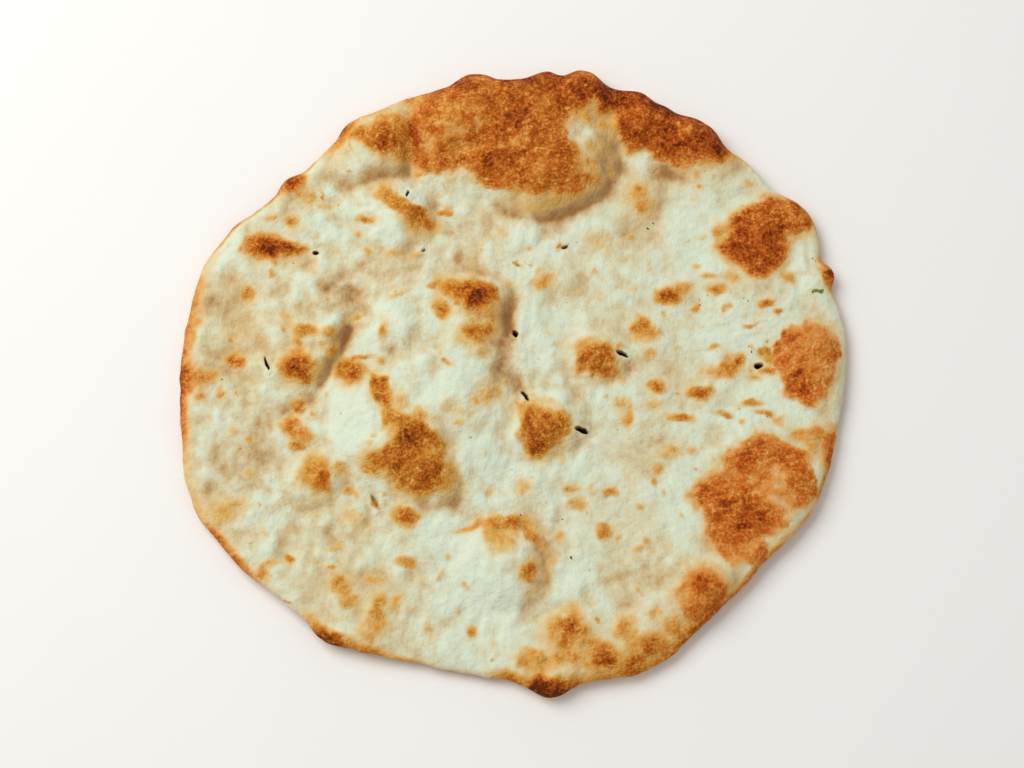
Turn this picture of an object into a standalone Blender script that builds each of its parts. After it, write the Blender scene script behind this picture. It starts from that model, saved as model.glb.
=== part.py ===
# A round plain naan, lying as it came off the oven floor: one closed solid of blistered dough.
# Lengths in the tables are in millimetres. The naan is drawn from above, with +X to the right and
# +Y away from the viewer, and then moved so that the origin is at the middle of its underside.

from collections import namedtuple
from math import cos, pi, radians, sin

import bmesh
import bpy
import numpy as np
from mathutils import Matrix, Vector

MM = 0.001

# The rolled-out sheet of dough
HALF_WIDTH = 119.5
HALF_DEPTH = 116.0
CRUMB_THICKNESS = 5.6
RIM_ROUND_TOP = 8.0
RIM_ROUND_UNDER = 4.0
RIM_MIDLINE = 2.6

# Unevenness of dough stretched by hand: spacing of the humps and their height
Swell = namedtuple("Swell", "spacing high turn_deg seed")
SWELLS = [
    Swell(29, 1.0, 20, 3),
    Swell(15, 0.8, 50, 4),
    Swell(8.5, 0.55, 75, 5),
]
# The same unevenness pulls the outlines of the blisters about, in X and in Y
WARPS_X = [
    Swell(23, 2.4, 35, 11),
    Swell(11, 1.3, 10, 13),
]
WARPS_Y = [
    Swell(23, 2.4, 65, 12),
    Swell(11, 1.3, 80, 14),
]
NOISE_SIZE = 48

# Mesh of the two faces: rings of triangles out to the disc's edge, then round the rim
DISC_INSET = 12.0
TOP_RINGS = 26
UNDER_RINGS = 18
RIM_STEPS_TOP = 4
RIM_STEPS_UNDER = 2

# How sharply blisters meet each other
CREASE_SHARPNESS = 4.5
# The foot of a blister runs out into the sheet over this height
FOOT_FILLET = 1.2
# Slapped onto the oven wall, the dough sagged one way, so every blister leans that way
LEAN = 0.28
LEAN_HEADING_DEG = -28.0

# Each lobe pushes the edge out, or pulls it in, round the compass from +X
LOBE_SHARPNESS = 2.5
Lobe = namedtuple("Lobe", "at_deg half_width_deg out")
EDGE_LOBES = [
    Lobe(11, 11, 3.0),
    Lobe(19.8, 2.2, 3.2),
    Lobe(30, 6.8, 8.0),
    Lobe(43.5, 5, 2.6),
    Lobe(54, 3.8, 2.8),
    Lobe(62, 14, 3.2),
    Lobe(67.2, 2.2, 2.0),
    Lobe(77.2, 3.4, 4.6),
    Lobe(82, 10, 1.6),
    Lobe(84, 2.6, 3.0),
    Lobe(96.8, 3.4, 4.0),
    Lobe(95, 62, 1.1),
    Lobe(121, 3.2, 2.4),
    Lobe(136, 15, -6.2),
    Lobe(137, 2.6, 2.2),
    Lobe(154, 10, 2.2),
    Lobe(170, 14, 1.0),
    Lobe(186, 4, 0.6),
    Lobe(200, 9, 3.6),
    Lobe(227, 10, -4.2),
    Lobe(234, 3.2, 2.2),
    Lobe(256, 18, -9.0),
    Lobe(276, 26, -1.5),
    Lobe(269, 3, -1.6),
    Lobe(277.5, 3.4, 3.0),
    Lobe(284, 7, -2.8),
    Lobe(316, 17, -7.0),
    Lobe(325, 6, -1.2),
    Lobe(340, 6, 0.5),
    Lobe(345, 12, -1.2),
]

# Gas blisters: middle, half length and half width, turn of the length from +X, height over the
# sheet, and how softly the foot runs out (0.6 is a steep bubble, 2 a gentle swelling)
Blister = namedtuple("Blister", "x y long wide turn_deg high foot")
BLISTERS = [
    # The great blister at the far rim: a broad swelling with domes on it
    Blister(-1, 96, 45, 29, 2, 7.2, 1.1),
    Blister(10, 88, 29.5, 25.5, 0, 10.0, 1.05),
    Blister(-19, 101, 21, 18, 0, 8.6, 1.1),
    Blister(29, 112, 18, 12, -10, 7.4, 1.1),
    Blister(-51, 91, 19, 16, 30, 6.2, 0.9),
    Blister(58, 96, 31, 14, -28, 5.4, 1.1),
    Blister(47, 99, 12, 11, 0, 6.2, 1.2),
    Blister(68, 92, 15, 11, -30, 6.0, 1.2),
    # The long swelling left of the middle, and the lobes that stand on it
    Blister(-30, 3, 50, 34, -68, 5.6, 1.1),
    Blister(-19, 9, 32, 20, -80, 6.6, 1.3),
    Blister(-15, 32, 16.5, 11.5, -15, 6.8, 1.1),
    Blister(-44, 20, 19, 14, -65, 6.4, 1.3),
    Blister(-46, -18, 32, 24, -54, 8.0, 0.95),
    Blister(-34, -30, 18, 15, -40, 7.2, 1.1),
    Blister(-8, -22, 17, 16, 0, 3.0, 1.5),
    # The swelling on the left, which falls into the deep crease
    Blister(-78, 15, 28, 17, 66, 4.4, 0.85),
    Blister(-77, 6, 12, 11, 0, 5.6, 1.3),
    Blister(-70, 20, 14, 8, 60, 5.2, 1.2),
    Blister(-75, 40, 18, 12, 10, 2.4, 1.3),
    Blister(-78, -20, 12, 11, 0, 3.0, 1.2),
    Blister(-72, -33, 15, 12, -50, 3.8, 1.0),
    # The dome near the viewer
    Blister(-5, -66.5, 20, 18, 0, 6.2, 0.85),
    # Single bubbles
    Blister(-44, 64, 20, 14, -35, 4.6, 1.0),
    Blister(12, -16, 17, 14, 20, 4.8, 1.0),
    Blister(31, 9, 13, 12, 0, 3.4, 1.0),
    Blister(47, 70, 13, 11, 80, 2.2, 1.2),
    Blister(-38, -49, 8, 6.5, -20, 1.5, 1.0),
    Blister(-88, 52, 15, 8, -5, 1.5, 1.3),
    Blister(-60, -78, 11, 8, -70, 1.4, 1.4),
    Blister(-47, -85, 11, 9, 80, 1.4, 1.4),
    Blister(20, -88, 13, 11, 0, 2.4, 1.2),
    Blister(40, -93, 19, 12, 5, 2.2, 1.3),
    Blister(14, -107, 11, 8, 0, 3.0, 1.2),
    Blister(59, 34, 10, 8, 20, 1.3, 1.3),
    Blister(67, -4, 9, 6, -10, 1.2, 1.3),
    Blister(78, 5, 11, 8, 15, 1.3, 1.3),
    Blister(40, -10, 11, 8, -30, 1.3, 1.3),
    Blister(57, -26, 12, 7, 15, 1.2, 1.3),
    # Broad scorched bubbles along the right rim
    Blister(90, 54, 20, 16, 85, 3.4, 1.0),
    Blister(105, 65, 10, 9, 0, 3.4, 1.2),
    Blister(108, 7, 20, 14, 85, 3.8, 1.0),
    Blister(92, -36, 27, 20, -45, 3.6, 1.0),
    Blister(78, -48, 17, 16, 0, 3.2, 1.1),
    Blister(66, -77, 15, 13, 30, 4.0, 0.9),
    # Bubbles in the crust of the rim
    Blister(-82, 76, 6, 5, 40, 2.0, 1.2),
    Blister(116, 42, 5, 4, -60, 1.6, 1.2),
    Blister(-116, 4, 13, 7, 88, 1.2, 1.4),
    Blister(-60, -93, 14, 8, -22, 1.5, 1.4),
]

# Folds in the skin: two ends, half width and depth
Crease = namedtuple("Crease", "x0 y0 x1 y1 half_width deep")
CREASES = [
    Crease(-73, -9, -57, 22, 1.8, 1.5),
    Crease(-38, 78, -37, 110, 2.6, 1.2),
    Crease(-26, 87, 2, 92, 4.0, 1.0),
    Crease(98, 35, 111, 21, 3.0, 0.8),
    Crease(10, -101, 9, -114, 3.0, 1.8),
]

# Pricks made with a docker, torn open by the rising dough: half length, half width and depth
Prick = namedtuple("Prick", "x y long wide turn_deg deep")
PRICKS = [
    Prick(1.2, 19, 2.1, 1.2, -60, 3.0),
    Prick(4.8, -4.5, 2.2, 1.1, -55, 2.6),
    Prick(25, -17.5, 2.8, 1.4, -15, 3.0),
    Prick(40, 10.8, 2.6, 1.2, -25, 3.0),
    Prick(89.5, 7, 1.7, 1.5, 0, 2.6),
    Prick(-88.7, 7, 2.6, 1.1, -70, 3.0),
    Prick(19.5, 52.2, 2.0, 1.0, 25, 2.0),
    Prick(-72, 49.5, 1.6, 1.1, -20, 2.4),
    Prick(-38.5, 71.8, 1.6, 1.0, 80, 2.2),
    Prick(-49, -43.5, 3.2, 1.2, -60, 2.4),
]
PRICK_SIDES = 10
PRICK_TAPER = 0.55

# How far the underside curls up from the table at the edge, round the compass
EdgeLift = namedtuple("EdgeLift", "at_deg half_width_deg up")
EDGE_LIFTS = [
    EdgeLift(15, 30, 1.6),
    EdgeLift(60, 26, 3.2),
    EdgeLift(100, 22, 1.4),
    EdgeLift(145, 20, 2.0),
    EdgeLift(190, 24, 0.8),
    EdgeLift(235, 22, 2.2),
    EdgeLift(280, 16, 1.0),
    EdgeLift(320, 26, 2.4),
]
LIFT_STARTS_AT = 0.75

# Shallow hollows under the largest blisters: middle, half length, half width and depth
Hollow = namedtuple("Hollow", "x y long wide turn_deg deep")
UNDER_HOLLOWS = [
    Hollow(6, 84, 26, 17, 10, 1.0),
    Hollow(-44, -20, 22, 13, -50, 0.9),
    Hollow(-22, 36, 15, 11, -70, 0.7),
    Hollow(62, -44, 22, 15, 30, 0.8),
    Hollow(68, 40, 20, 13, -35, 0.7),
    Hollow(-76, 22, 13, 17, 0, 0.8),
    Hollow(0, -68, 15, 13, 0, 0.8),
]

DOUGH_COLOUR = (0.80, 0.72, 0.53, 1.0)
DOUGH_ROUGHNESS = 0.8


def smooth_step(t):
    t = np.clip(t, 0.0, 1.0)
    return t * t * (3.0 - 2.0 * t)


def degrees_away(angle, at_deg):
    """Turn between an angle in radians and a heading in degrees, from -180 to 180 degrees."""
    return (np.degrees(angle) - at_deg + 180.0) % 360.0 - 180.0


def edge_radius(angle):
    """Distance from the middle to the edge, at an angle in radians."""
    radius = 1.0 / np.hypot(np.cos(angle) / HALF_WIDTH, np.sin(angle) / HALF_DEPTH)
    for lobe in EDGE_LOBES:
        away = degrees_away(angle, lobe.at_deg)
        radius = radius + lobe.out * np.exp(-np.abs(away / lobe.half_width_deg) ** LOBE_SHARPNESS)
    return radius


def uneven(x, y, swell):
    """Smooth random humps and hollows, from a lattice of random values."""
    lattice = np.random.default_rng(swell.seed).uniform(-1.0, 1.0, (NOISE_SIZE, NOISE_SIZE))
    turn = radians(swell.turn_deg)
    u = (x * cos(turn) + y * sin(turn)) / swell.spacing + NOISE_SIZE / 2
    v = (y * cos(turn) - x * sin(turn)) / swell.spacing + NOISE_SIZE / 2
    i = np.floor(u).astype(int)
    j = np.floor(v).astype(int)
    share_u = smooth_step(u - i)
    share_v = smooth_step(v - j)
    low = lattice[i, j] * (1.0 - share_u) + lattice[i + 1, j] * share_u
    high = lattice[i, j + 1] * (1.0 - share_u) + lattice[i + 1, j + 1] * share_u
    return swell.high * (low * (1.0 - share_v) + high * share_v)


def oval_place(x, y, oval):
    """Place along and across an oval, where its foot is at a distance of 1 from its middle."""
    turn = radians(oval.turn_deg)
    along = (x - oval.x) * cos(turn) + (y - oval.y) * sin(turn)
    across = (y - oval.y) * cos(turn) - (x - oval.x) * sin(turn)
    return along / oval.long, across / oval.wide


def blister_height(x, y):
    """Blisters that overlap meet in a crease, as bubbles do, so their heights aren't added."""
    warped_x = x + sum(uneven(x, y, warp) for warp in WARPS_X)
    warped_y = y + sum(uneven(x, y, warp) for warp in WARPS_Y)
    total = np.zeros_like(x)
    for blister in BLISTERS:
        along, across = oval_place(warped_x, warped_y, blister)
        inside = np.clip(1.0 - along**2 - across**2, 0.0, 1.0)
        heading = radians(LEAN_HEADING_DEG - blister.turn_deg)
        leaning = 1.0 + LEAN * (along * cos(heading) + across * sin(heading))
        total += (blister.high * leaning * inside**blister.foot) ** CREASE_SHARPNESS
    high = total ** (1.0 / CREASE_SHARPNESS)
    return np.hypot(high, FOOT_FILLET) - FOOT_FILLET


def crease_depth(x, y):
    depth = np.zeros_like(x)
    for crease in CREASES:
        run_x = crease.x1 - crease.x0
        run_y = crease.y1 - crease.y0
        share = ((x - crease.x0) * run_x + (y - crease.y0) * run_y) / (run_x**2 + run_y**2)
        share = np.clip(share, 0.0, 1.0)
        away = np.hypot(x - crease.x0 - share * run_x, y - crease.y0 - share * run_y)
        taper = 2.0 * np.sqrt(share * (1.0 - share))
        depth += crease.deep * taper * np.exp(-((away / crease.half_width) ** 2))
    return depth


def edge_lift(angle):
    up = np.zeros_like(angle)
    for lift in EDGE_LIFTS:
        up += lift.up * np.exp(-((degrees_away(angle, lift.at_deg) / lift.half_width_deg) ** 2))
    return up


def lifted_by(x, y):
    """How far the rim curls off the table here."""
    angle = np.arctan2(y, x)
    share = np.hypot(x, y) / edge_radius(angle)
    return edge_lift(angle) * smooth_step((share - LIFT_STARTS_AT) / (1.0 - LIFT_STARTS_AT))


def under_height(x, y):
    """The underside away from the rim: flat on the table, but for the hollows."""
    height = lifted_by(x, y)
    for hollow in UNDER_HOLLOWS:
        height = height + hollow.deep * smooth_step(1.0 - np.hypot(*oval_place(x, y, hollow)))
    return height


def top_height(x, y):
    """The upper face away from the rim."""
    humps = sum(uneven(x, y, swell) for swell in SWELLS)
    return lifted_by(x, y) + CRUMB_THICKNESS + humps + blister_height(x, y) - crease_depth(x, y)


def rounded(inset, rounding):
    """Rises from 0 at the edge to 1 at the end of the rounding, as a quarter of an ellipse."""
    share = 1.0 - np.clip(inset / rounding, 0.0, 1.0)
    return np.sqrt(1.0 - share**2)


def ring_points(count, face, disc_share=None, inset=None):
    """A ring of the mesh at a share of the disc's radius, or at an inset from the edge."""
    angle = np.arange(count) * 2.0 * pi / count
    edge = edge_radius(angle)
    radius = (edge - DISC_INSET) * disc_share if inset is None else edge - inset
    x = radius * np.cos(angle)
    y = radius * np.sin(angle)
    midline = edge_lift(angle) + RIM_MIDLINE
    if face == "top":
        z = midline + (top_height(x, y) - midline) * rounded(edge - radius, RIM_ROUND_TOP)
    else:
        z = midline - (midline - under_height(x, y)) * rounded(edge - radius, RIM_ROUND_UNDER)
    return np.stack([x, y, z], axis=1)


def face_rings(face, rings, rounding, steps):
    """Rings of one face, from its middle point out to the last one before the shared edge."""
    found = [ring_points(1, face, disc_share=0.0)]
    found += [ring_points(6 * k, face, disc_share=k / rings) for k in range(1, rings + 1)]
    for k in range(steps, 0, -1):
        inset = rounding * (1.0 - cos(0.5 * pi * k / steps))
        found.append(ring_points(6 * TOP_RINGS, face, inset=inset))
    return found


def stitch(mesh, inner, outer, faces_up):
    """Triangles between two rings, each time a step along the one that lags behind."""
    inner_steps = len(inner) if len(inner) > 1 else 0
    i = j = 0
    while i < inner_steps or j < len(outer):
        base = (inner[i % len(inner)], outer[j % len(outer)])
        inner_lags = i < inner_steps and (i + 1) * len(outer) <= (j + 1) * inner_steps
        if inner_lags or j == len(outer):
            i += 1
            corners = (*base, inner[i % len(inner)])
        else:
            j += 1
            corners = (*base, outer[j % len(outer)])
        mesh.faces.new(corners if faces_up else corners[::-1])


def build_bread(middle):
    """The whole bread as one closed mesh of rings, both faces meeting on the rim's midline."""
    mesh = bmesh.new()

    def add(points):
        return [mesh.verts.new(Vector(point) * MM - middle) for point in points.tolist()]

    edge = add(ring_points(6 * TOP_RINGS, "top", inset=0.0))
    for face, rings, rounding, steps in (
        ("top", TOP_RINGS, RIM_ROUND_TOP, RIM_STEPS_TOP),
        ("under", UNDER_RINGS, RIM_ROUND_UNDER, RIM_STEPS_UNDER),
    ):
        loops = [add(points) for points in face_rings(face, rings, rounding, steps)] + [edge]
        for inner, outer in zip(loops, loops[1:]):
            stitch(mesh, inner, outer, face == "top")
    return mesh


def outline_middle():
    """The middle of the outline's box, on the table."""
    points = ring_points(6 * TOP_RINGS, "top", inset=0.0)
    low = points.min(axis=0)
    high = points.max(axis=0)
    return Vector(((low[0] + high[0]) / 2.0, (low[1] + high[1]) / 2.0, 0.0)) * MM


def dough_material():
    material = bpy.data.materials.new("baked_dough")
    material.use_nodes = True
    shader = material.node_tree.nodes["Principled BSDF"]
    shader.inputs["Base Color"].default_value = DOUGH_COLOUR
    shader.inputs["Roughness"].default_value = DOUGH_ROUGHNESS
    shader.inputs["Metallic"].default_value = 0.0
    material.diffuse_color = DOUGH_COLOUR
    return material


def prick_cutter(prick, number, middle, collection):
    """A tapered plug, sunk to the prick's depth below the skin and standing as far above it."""
    skin = float(top_height(np.array([float(prick.x)]), np.array([float(prick.y)]))[0])
    mesh = bmesh.new()
    bmesh.ops.create_cone(
        mesh,
        cap_ends=True,
        segments=PRICK_SIDES,
        radius1=1.0 - PRICK_TAPER,
        radius2=1.0 + PRICK_TAPER,
        depth=2.0 * prick.deep,
    )
    for vert in mesh.verts:
        vert.co.x *= prick.long
        vert.co.y *= prick.wide
    data = bpy.data.meshes.new(f"prick_{number}")
    mesh.to_mesh(data)
    mesh.free()
    data.transform(Matrix.Scale(MM, 4))
    cutter = bpy.data.objects.new(f"prick_{number}", data)
    cutter.location = Vector((prick.x, prick.y, skin)) * MM - middle
    cutter.rotation_euler.z = radians(prick.turn_deg)
    cutter.hide_render = True
    cutter.display_type = "WIRE"
    collection.objects.link(cutter)


def add_naan(middle):
    bread = build_bread(middle)
    data = bpy.data.meshes.new("naan")
    bread.to_mesh(data)
    bread.free()
    data.shade_smooth()
    data.materials.append(dough_material())
    naan = bpy.data.objects.new("naan", data)
    bpy.context.scene.collection.objects.link(naan)
    return naan


def cut_pricks(naan, middle):
    cutters = bpy.data.collections.new("pricks")
    bpy.context.scene.collection.children.link(cutters)
    for number, prick in enumerate(PRICKS, start=1):
        prick_cutter(prick, number, middle, cutters)
    cut = naan.modifiers.new("pricks", "BOOLEAN")
    cut.operation = "DIFFERENCE"
    cut.operand_type = "COLLECTION"
    cut.collection = cutters
    cut.solver = "EXACT"


def main():
    for old in list(bpy.data.objects):
        bpy.data.objects.remove(old)
    middle = outline_middle()
    naan = add_naan(middle)
    cut_pricks(naan, middle)


main()
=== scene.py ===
# A round plain naan, blistered and browned against a hot oven wall.
# Lengths are millimetres on a plan drawn from above, +X right and +Y away, unless a note says metres.
from math import cos, pi, radians, sin, tan

import bmesh
import bpy
import numpy as np
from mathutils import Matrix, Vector


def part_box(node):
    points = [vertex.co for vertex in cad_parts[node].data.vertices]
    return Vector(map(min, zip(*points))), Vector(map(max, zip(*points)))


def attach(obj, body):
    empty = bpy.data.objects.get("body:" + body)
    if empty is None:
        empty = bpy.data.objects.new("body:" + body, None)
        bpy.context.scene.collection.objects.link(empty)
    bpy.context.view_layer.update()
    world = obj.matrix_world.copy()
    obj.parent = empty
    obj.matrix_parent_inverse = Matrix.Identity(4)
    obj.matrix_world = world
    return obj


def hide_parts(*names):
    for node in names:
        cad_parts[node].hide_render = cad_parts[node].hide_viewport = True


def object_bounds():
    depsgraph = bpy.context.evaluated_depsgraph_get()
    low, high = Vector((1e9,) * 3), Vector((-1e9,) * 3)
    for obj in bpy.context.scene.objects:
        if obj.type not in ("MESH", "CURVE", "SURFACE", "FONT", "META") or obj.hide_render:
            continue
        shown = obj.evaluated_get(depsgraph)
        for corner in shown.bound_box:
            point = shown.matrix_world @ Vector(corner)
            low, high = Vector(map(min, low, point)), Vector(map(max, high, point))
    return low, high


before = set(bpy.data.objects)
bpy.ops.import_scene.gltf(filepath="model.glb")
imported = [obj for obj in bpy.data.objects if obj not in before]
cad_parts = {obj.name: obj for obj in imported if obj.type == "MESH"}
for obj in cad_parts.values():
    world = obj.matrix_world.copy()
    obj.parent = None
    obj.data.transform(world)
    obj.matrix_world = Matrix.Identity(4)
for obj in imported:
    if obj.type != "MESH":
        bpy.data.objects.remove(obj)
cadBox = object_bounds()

mm = 0.001
viewTilt = 15.0   # the photo looks down this far off the vertical, from -Y

# the dough
bread = {
    "halfWidth": 119.5,
    "halfDepth": 116.0,
    "crumb": 5.6,          # thickness of the sheet between blisters
    "rimRoundTop": 8.0,
    "rimRoundUnder": 4.0,
    "rimMidline": 2.6,
    "discInset": 12.0,     # rings of the mesh are even inside this
    "topRings": 132,
    "underRings": 56,
    "rimStepsTop": 14,
    "rimStepsUnder": 7,
    "creaseSharpness": 4.5,
    "footFillet": 1.2,
    "lean": 0.28,          # every blister sagged the same way
    "leanHeading": -28.0,
    "lobeSharpness": 2.5,
    "liftStart": 0.75,
    "noiseSize": 48,
    # edge lobes: heading, half width in degrees, how far out
    "edgeLobes": [
        (11, 11, 3.0), (19.8, 2.2, 3.2), (30, 6.8, 8.0), (43.5, 5, 2.6), (54, 3.8, 2.8), (62, 14, 3.2),
        (67.2, 2.2, 2.0), (77.2, 3.4, 4.6), (82, 10, 1.6), (84, 2.6, 3.0), (96.8, 3.4, 4.0), (95, 62, 1.1),
        (121, 3.2, 2.4), (136, 15, -6.2), (137, 2.6, 2.2), (154, 10, 2.2), (170, 14, 1.0), (186, 4, 0.6),
        (200, 9, 3.6), (227, 10, -4.2), (234, 3.2, 2.2), (256, 18, -9.0), (276, 26, -1.5), (269, 3, -1.6),
        (277.5, 3.4, 3.0), (284, 7, -2.8), (316, 17, -7.0), (325, 6, -1.2), (340, 6, 0.5), (345, 12, -1.2),
    ],
    "edgeNoise": [(7.0, 7.0, 0.34, 30, 91), (3.4, 3.4, 0.28, 70, 92)],
    "edgeNoiseRadius": 115.0,   # the crinkles of the rim are read off this circle
    # noise: spacing along and across, height, turn, seed
    "swells": [(29, 29, 1.0, 20, 3), (15, 15, 0.8, 50, 4), (8.5, 8.5, 0.55, 75, 5)],
    "fineSwells": [
        (5.2, 5.2, 0.4, 15, 21), (3.3, 3.3, 0.3, 40, 22), (2.0, 2.0, 0.16, 65, 23),
        (2.6, 9.0, 0.24, -8, 24), (3.0, 10.0, 0.12, 30, 25),
    ],
    "calmSide": (0, 55, 0.5),     # the fine relief fades from the first x to the second, by this share
    "tightSkin": (12, 15, 0.45),  # and from the first height to the second, on the great blister
    "warpsX": [(23, 23, 2.4, 35, 11), (11, 11, 1.3, 10, 13)],
    "warpsY": [(23, 23, 2.4, 65, 12), (11, 11, 1.3, 80, 14)],
    # blisters: middle, half length, half width, turn, height, softness of the foot
    "blisters": [
        (-1, 96, 45, 29, 2, 7.2, 1.1), (10, 88, 29.5, 25.5, 0, 10.0, 1.05), (-19, 101, 21, 18, 0, 8.6, 1.1),
        (29, 112, 18, 12, -10, 7.4, 1.1), (-51, 91, 19, 16, 30, 6.2, 0.9), (58, 96, 31, 14, -28, 5.4, 1.1),
        (47, 99, 12, 11, 0, 6.2, 1.2), (68, 92, 15, 11, -30, 6.0, 1.2), (-30, 3, 50, 34, -68, 5.6, 1.1),
        (-19, 9, 32, 20, -80, 6.6, 1.3), (-15, 32, 16.5, 11.5, -15, 6.8, 1.1),
        (-44, 20, 19, 14, -65, 6.4, 1.3), (-46, -18, 32, 24, -54, 8.0, 0.95),
        (-34, -30, 18, 15, -40, 7.2, 1.1), (-8, -22, 17, 16, 0, 3.0, 1.5), (-78, 15, 28, 17, 66, 4.4, 0.85),
        (-77, 6, 12, 11, 0, 5.6, 1.3), (-70, 20, 14, 8, 60, 5.2, 1.2), (-75, 40, 18, 12, 10, 2.4, 1.3),
        (-78, -20, 12, 11, 0, 3.0, 1.2), (-72, -33, 15, 12, -50, 3.8, 1.0), (-5, -66.5, 20, 18, 0, 6.2, 0.85),
        (-44, 64, 20, 14, -35, 4.6, 1.0), (12, -16, 17, 14, 20, 4.8, 1.0), (31, 9, 13, 12, 0, 3.4, 1.0),
        (47, 70, 13, 11, 80, 2.2, 1.2), (-38, -49, 8, 6.5, -20, 1.5, 1.0), (-88, 52, 15, 8, -5, 1.5, 1.3),
        (-60, -78, 11, 8, -70, 1.4, 1.4), (-47, -85, 11, 9, 80, 1.4, 1.4), (20, -88, 13, 11, 0, 2.4, 1.2),
        (40, -93, 19, 12, 5, 2.2, 1.3), (14, -107, 11, 8, 0, 3.0, 1.2), (59, 34, 10, 8, 20, 1.3, 1.3),
        (67, -4, 9, 6, -10, 1.2, 1.3), (78, 5, 11, 8, 15, 1.3, 1.3), (40, -10, 11, 8, -30, 1.3, 1.3),
        (57, -26, 12, 7, 15, 1.2, 1.3), (90, 54, 20, 16, 85, 3.4, 1.0), (105, 65, 10, 9, 0, 3.4, 1.2),
        (108, 7, 20, 14, 85, 3.8, 1.0), (92, -36, 27, 20, -45, 3.6, 1.0), (78, -48, 17, 16, 0, 3.2, 1.1),
        (66, -77, 15, 13, 30, 4.0, 0.9), (-82, 76, 6, 5, 40, 2.0, 1.2), (116, 42, 5, 4, -60, 1.6, 1.2),
        (-116, 4, 13, 7, 88, 1.2, 1.4), (-60, -93, 14, 8, -22, 1.5, 1.4),
    ],
    "smallBlisters": {
        "count": 150, "seed": 31, "reach": 112.0, "least": 1.8, "most": 5.0, "sizeBias": 1.0, "height": 0.11,
        "softness": 1.5,
    },
    # folds: two ends, half width, depth
    "creases": [
        (-73, -9, -57, 22, 1.8, 1.5), (-38, 78, -37, 110, 2.6, 1.2), (-26, 87, 2, 92, 4.0, 1.0),
        (98, 35, 111, 21, 3.0, 0.8), (10, -101, 9, -114, 3.0, 1.8),
    ],
    "fineCreases": [
        (-4, 31, 2, 16, 1.8, 0.9), (2, 3, 6, -6, 1.4, 0.8),
        (104, 57, 105, 29, 1.2, 0.7), (108, 54, 109, 31, 1.2, 0.7), (101, 34, 113, 23, 0.7, 0.45),
        (-64, -63, -56, -71, 0.8, 0.4), (-69, -52, -59, -61, 0.8, 0.35), (-88, -11, -86, -19, 0.9, 0.5),
        (30, -74, 50, -67, 1.2, 0.5), (50, -67, 58, -61, 1.1, 0.45), (4, -88, 21, -79, 1.2, 0.45),
        (-22, -56, -8, -50, 0.8, 0.5), (-10, -50.5, 4, -50, 0.8, 0.5), (3, -50, 12, -64, 0.9, 0.7),
        (11, -62, 13.4, -74, 1.0, 0.8), (13.2, -72, 8, -78, 1.2, 0.3),
        (6, -101, 5, -113, 0.8, 0.7), (13, -100, 13, -113, 0.8, 0.7), (17, -103, 18, -113, 0.7, 0.5),
        (-20, -19, -19, -32, 2.0, 0.5), (-51, -38, -47, -47, 1.4, 0.9), (-34, 32, -33, 14, 1.6, 0.5),
        (-70, 30, -60, 44, 1.6, 0.5), (-58, 30, -54, 40, 1.6, 0.5), (-86, 12, -87, 0, 1.0, 0.4),
        (-78, -44, -64, -40, 1.6, 0.6), (-95, 18, -99, -4, 1.2, 0.3), (-104, -8, -102, -26, 1.1, 0.3),
        (-92, -22, -90, -40, 1.1, 0.3), (70, 78, 52, 80, 2.4, 0.6), (112, -18, 108, -32, 1.4, 0.4),
    ],
    # pricks: middle, half length, half width, turn, depth
    "pricks": [
        (1.2, 19, 1.3, 0.7, -62, 3.2), (4.8, -4.5, 1.9, 0.6, -55, 2.8), (25, -17.5, 2.3, 0.85, -15, 3.2),
        (40, 10.8, 2.2, 0.75, -22, 3.2), (89.5, 7, 1.5, 1.0, 10, 2.8), (-88.7, 7, 2.4, 0.45, -70, 2.4),
        (19.5, 52.2, 1.4, 0.45, 25, 1.8), (-72, 49.5, 1.0, 0.6, -20, 2.4), (-38.5, 71.8, 1.1, 0.5, 80, 2.2),
        (-49, -43.5, 2.4, 0.6, -60, 0.9), (1.6, 45.4, 1.6, 0.6, -30, 0.5), (-32.5, 50.5, 0.8, 0.5, 30, 1.2),
    ],
    "prickWarps": [(1.3, 1.3, 0.25, 10, 41), (1.3, 1.3, 0.25, 60, 42)],
    "prickLip": (0.08, 1.6, 0.5),   # height of the lip, then its place and half width in sizes of the prick
    "prickWall": (1.25, 0.55),      # where the wall starts to fall and how wide it is, in sizes of the prick
    "prickMargin": 1.6,             # the mesh is finer this far round a prick
    "prickCuts": 2,
    # how far the rim curls off the table: heading, half width in degrees, height
    "edgeLifts": [
        (15, 30, 1.6), (60, 26, 3.2), (100, 22, 1.4), (145, 20, 2.0),
        (190, 24, 0.8), (235, 22, 2.2), (280, 16, 1.0), (320, 26, 2.4),
    ],
    "underHollows": [
        (6, 84, 26, 17, 10, 1.0), (-44, -20, 22, 13, -50, 0.9), (-22, 36, 15, 11, -70, 0.7),
        (62, -44, 22, 15, 30, 0.8), (68, 40, 20, 13, -35, 0.7), (-76, 22, 13, 17, 0, 0.8),
        (0, -68, 15, 13, 0, 0.8),
    ],
}


def smoothStep(t):
    t = np.clip(t, 0.0, 1.0)
    return t * t * (3.0 - 2.0 * t)


def fade(value, start, end):
    # 0 at the start, 1 at the end
    return smoothStep((value - start) / (end - start))


def bell(away, halfWidth):
    # 1 in the middle, about a third at the half width
    return np.exp(-((away / halfWidth) ** 2))


def turnAway(angle, heading):
    # degrees between an angle in radians and a heading, from -180 to 180
    return (np.degrees(angle) - heading + 180.0) % 360.0 - 180.0


def edgeRadius(angle):
    radius = 1.0 / np.hypot(np.cos(angle) / bread["halfWidth"], np.sin(angle) / bread["halfDepth"])
    for heading, halfWidth, out in bread["edgeLobes"]:
        away = turnAway(angle, heading)
        radius = radius + out * np.exp(-np.abs(away / halfWidth) ** bread["lobeSharpness"])
    return radius + raggedEdge(angle)


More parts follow.
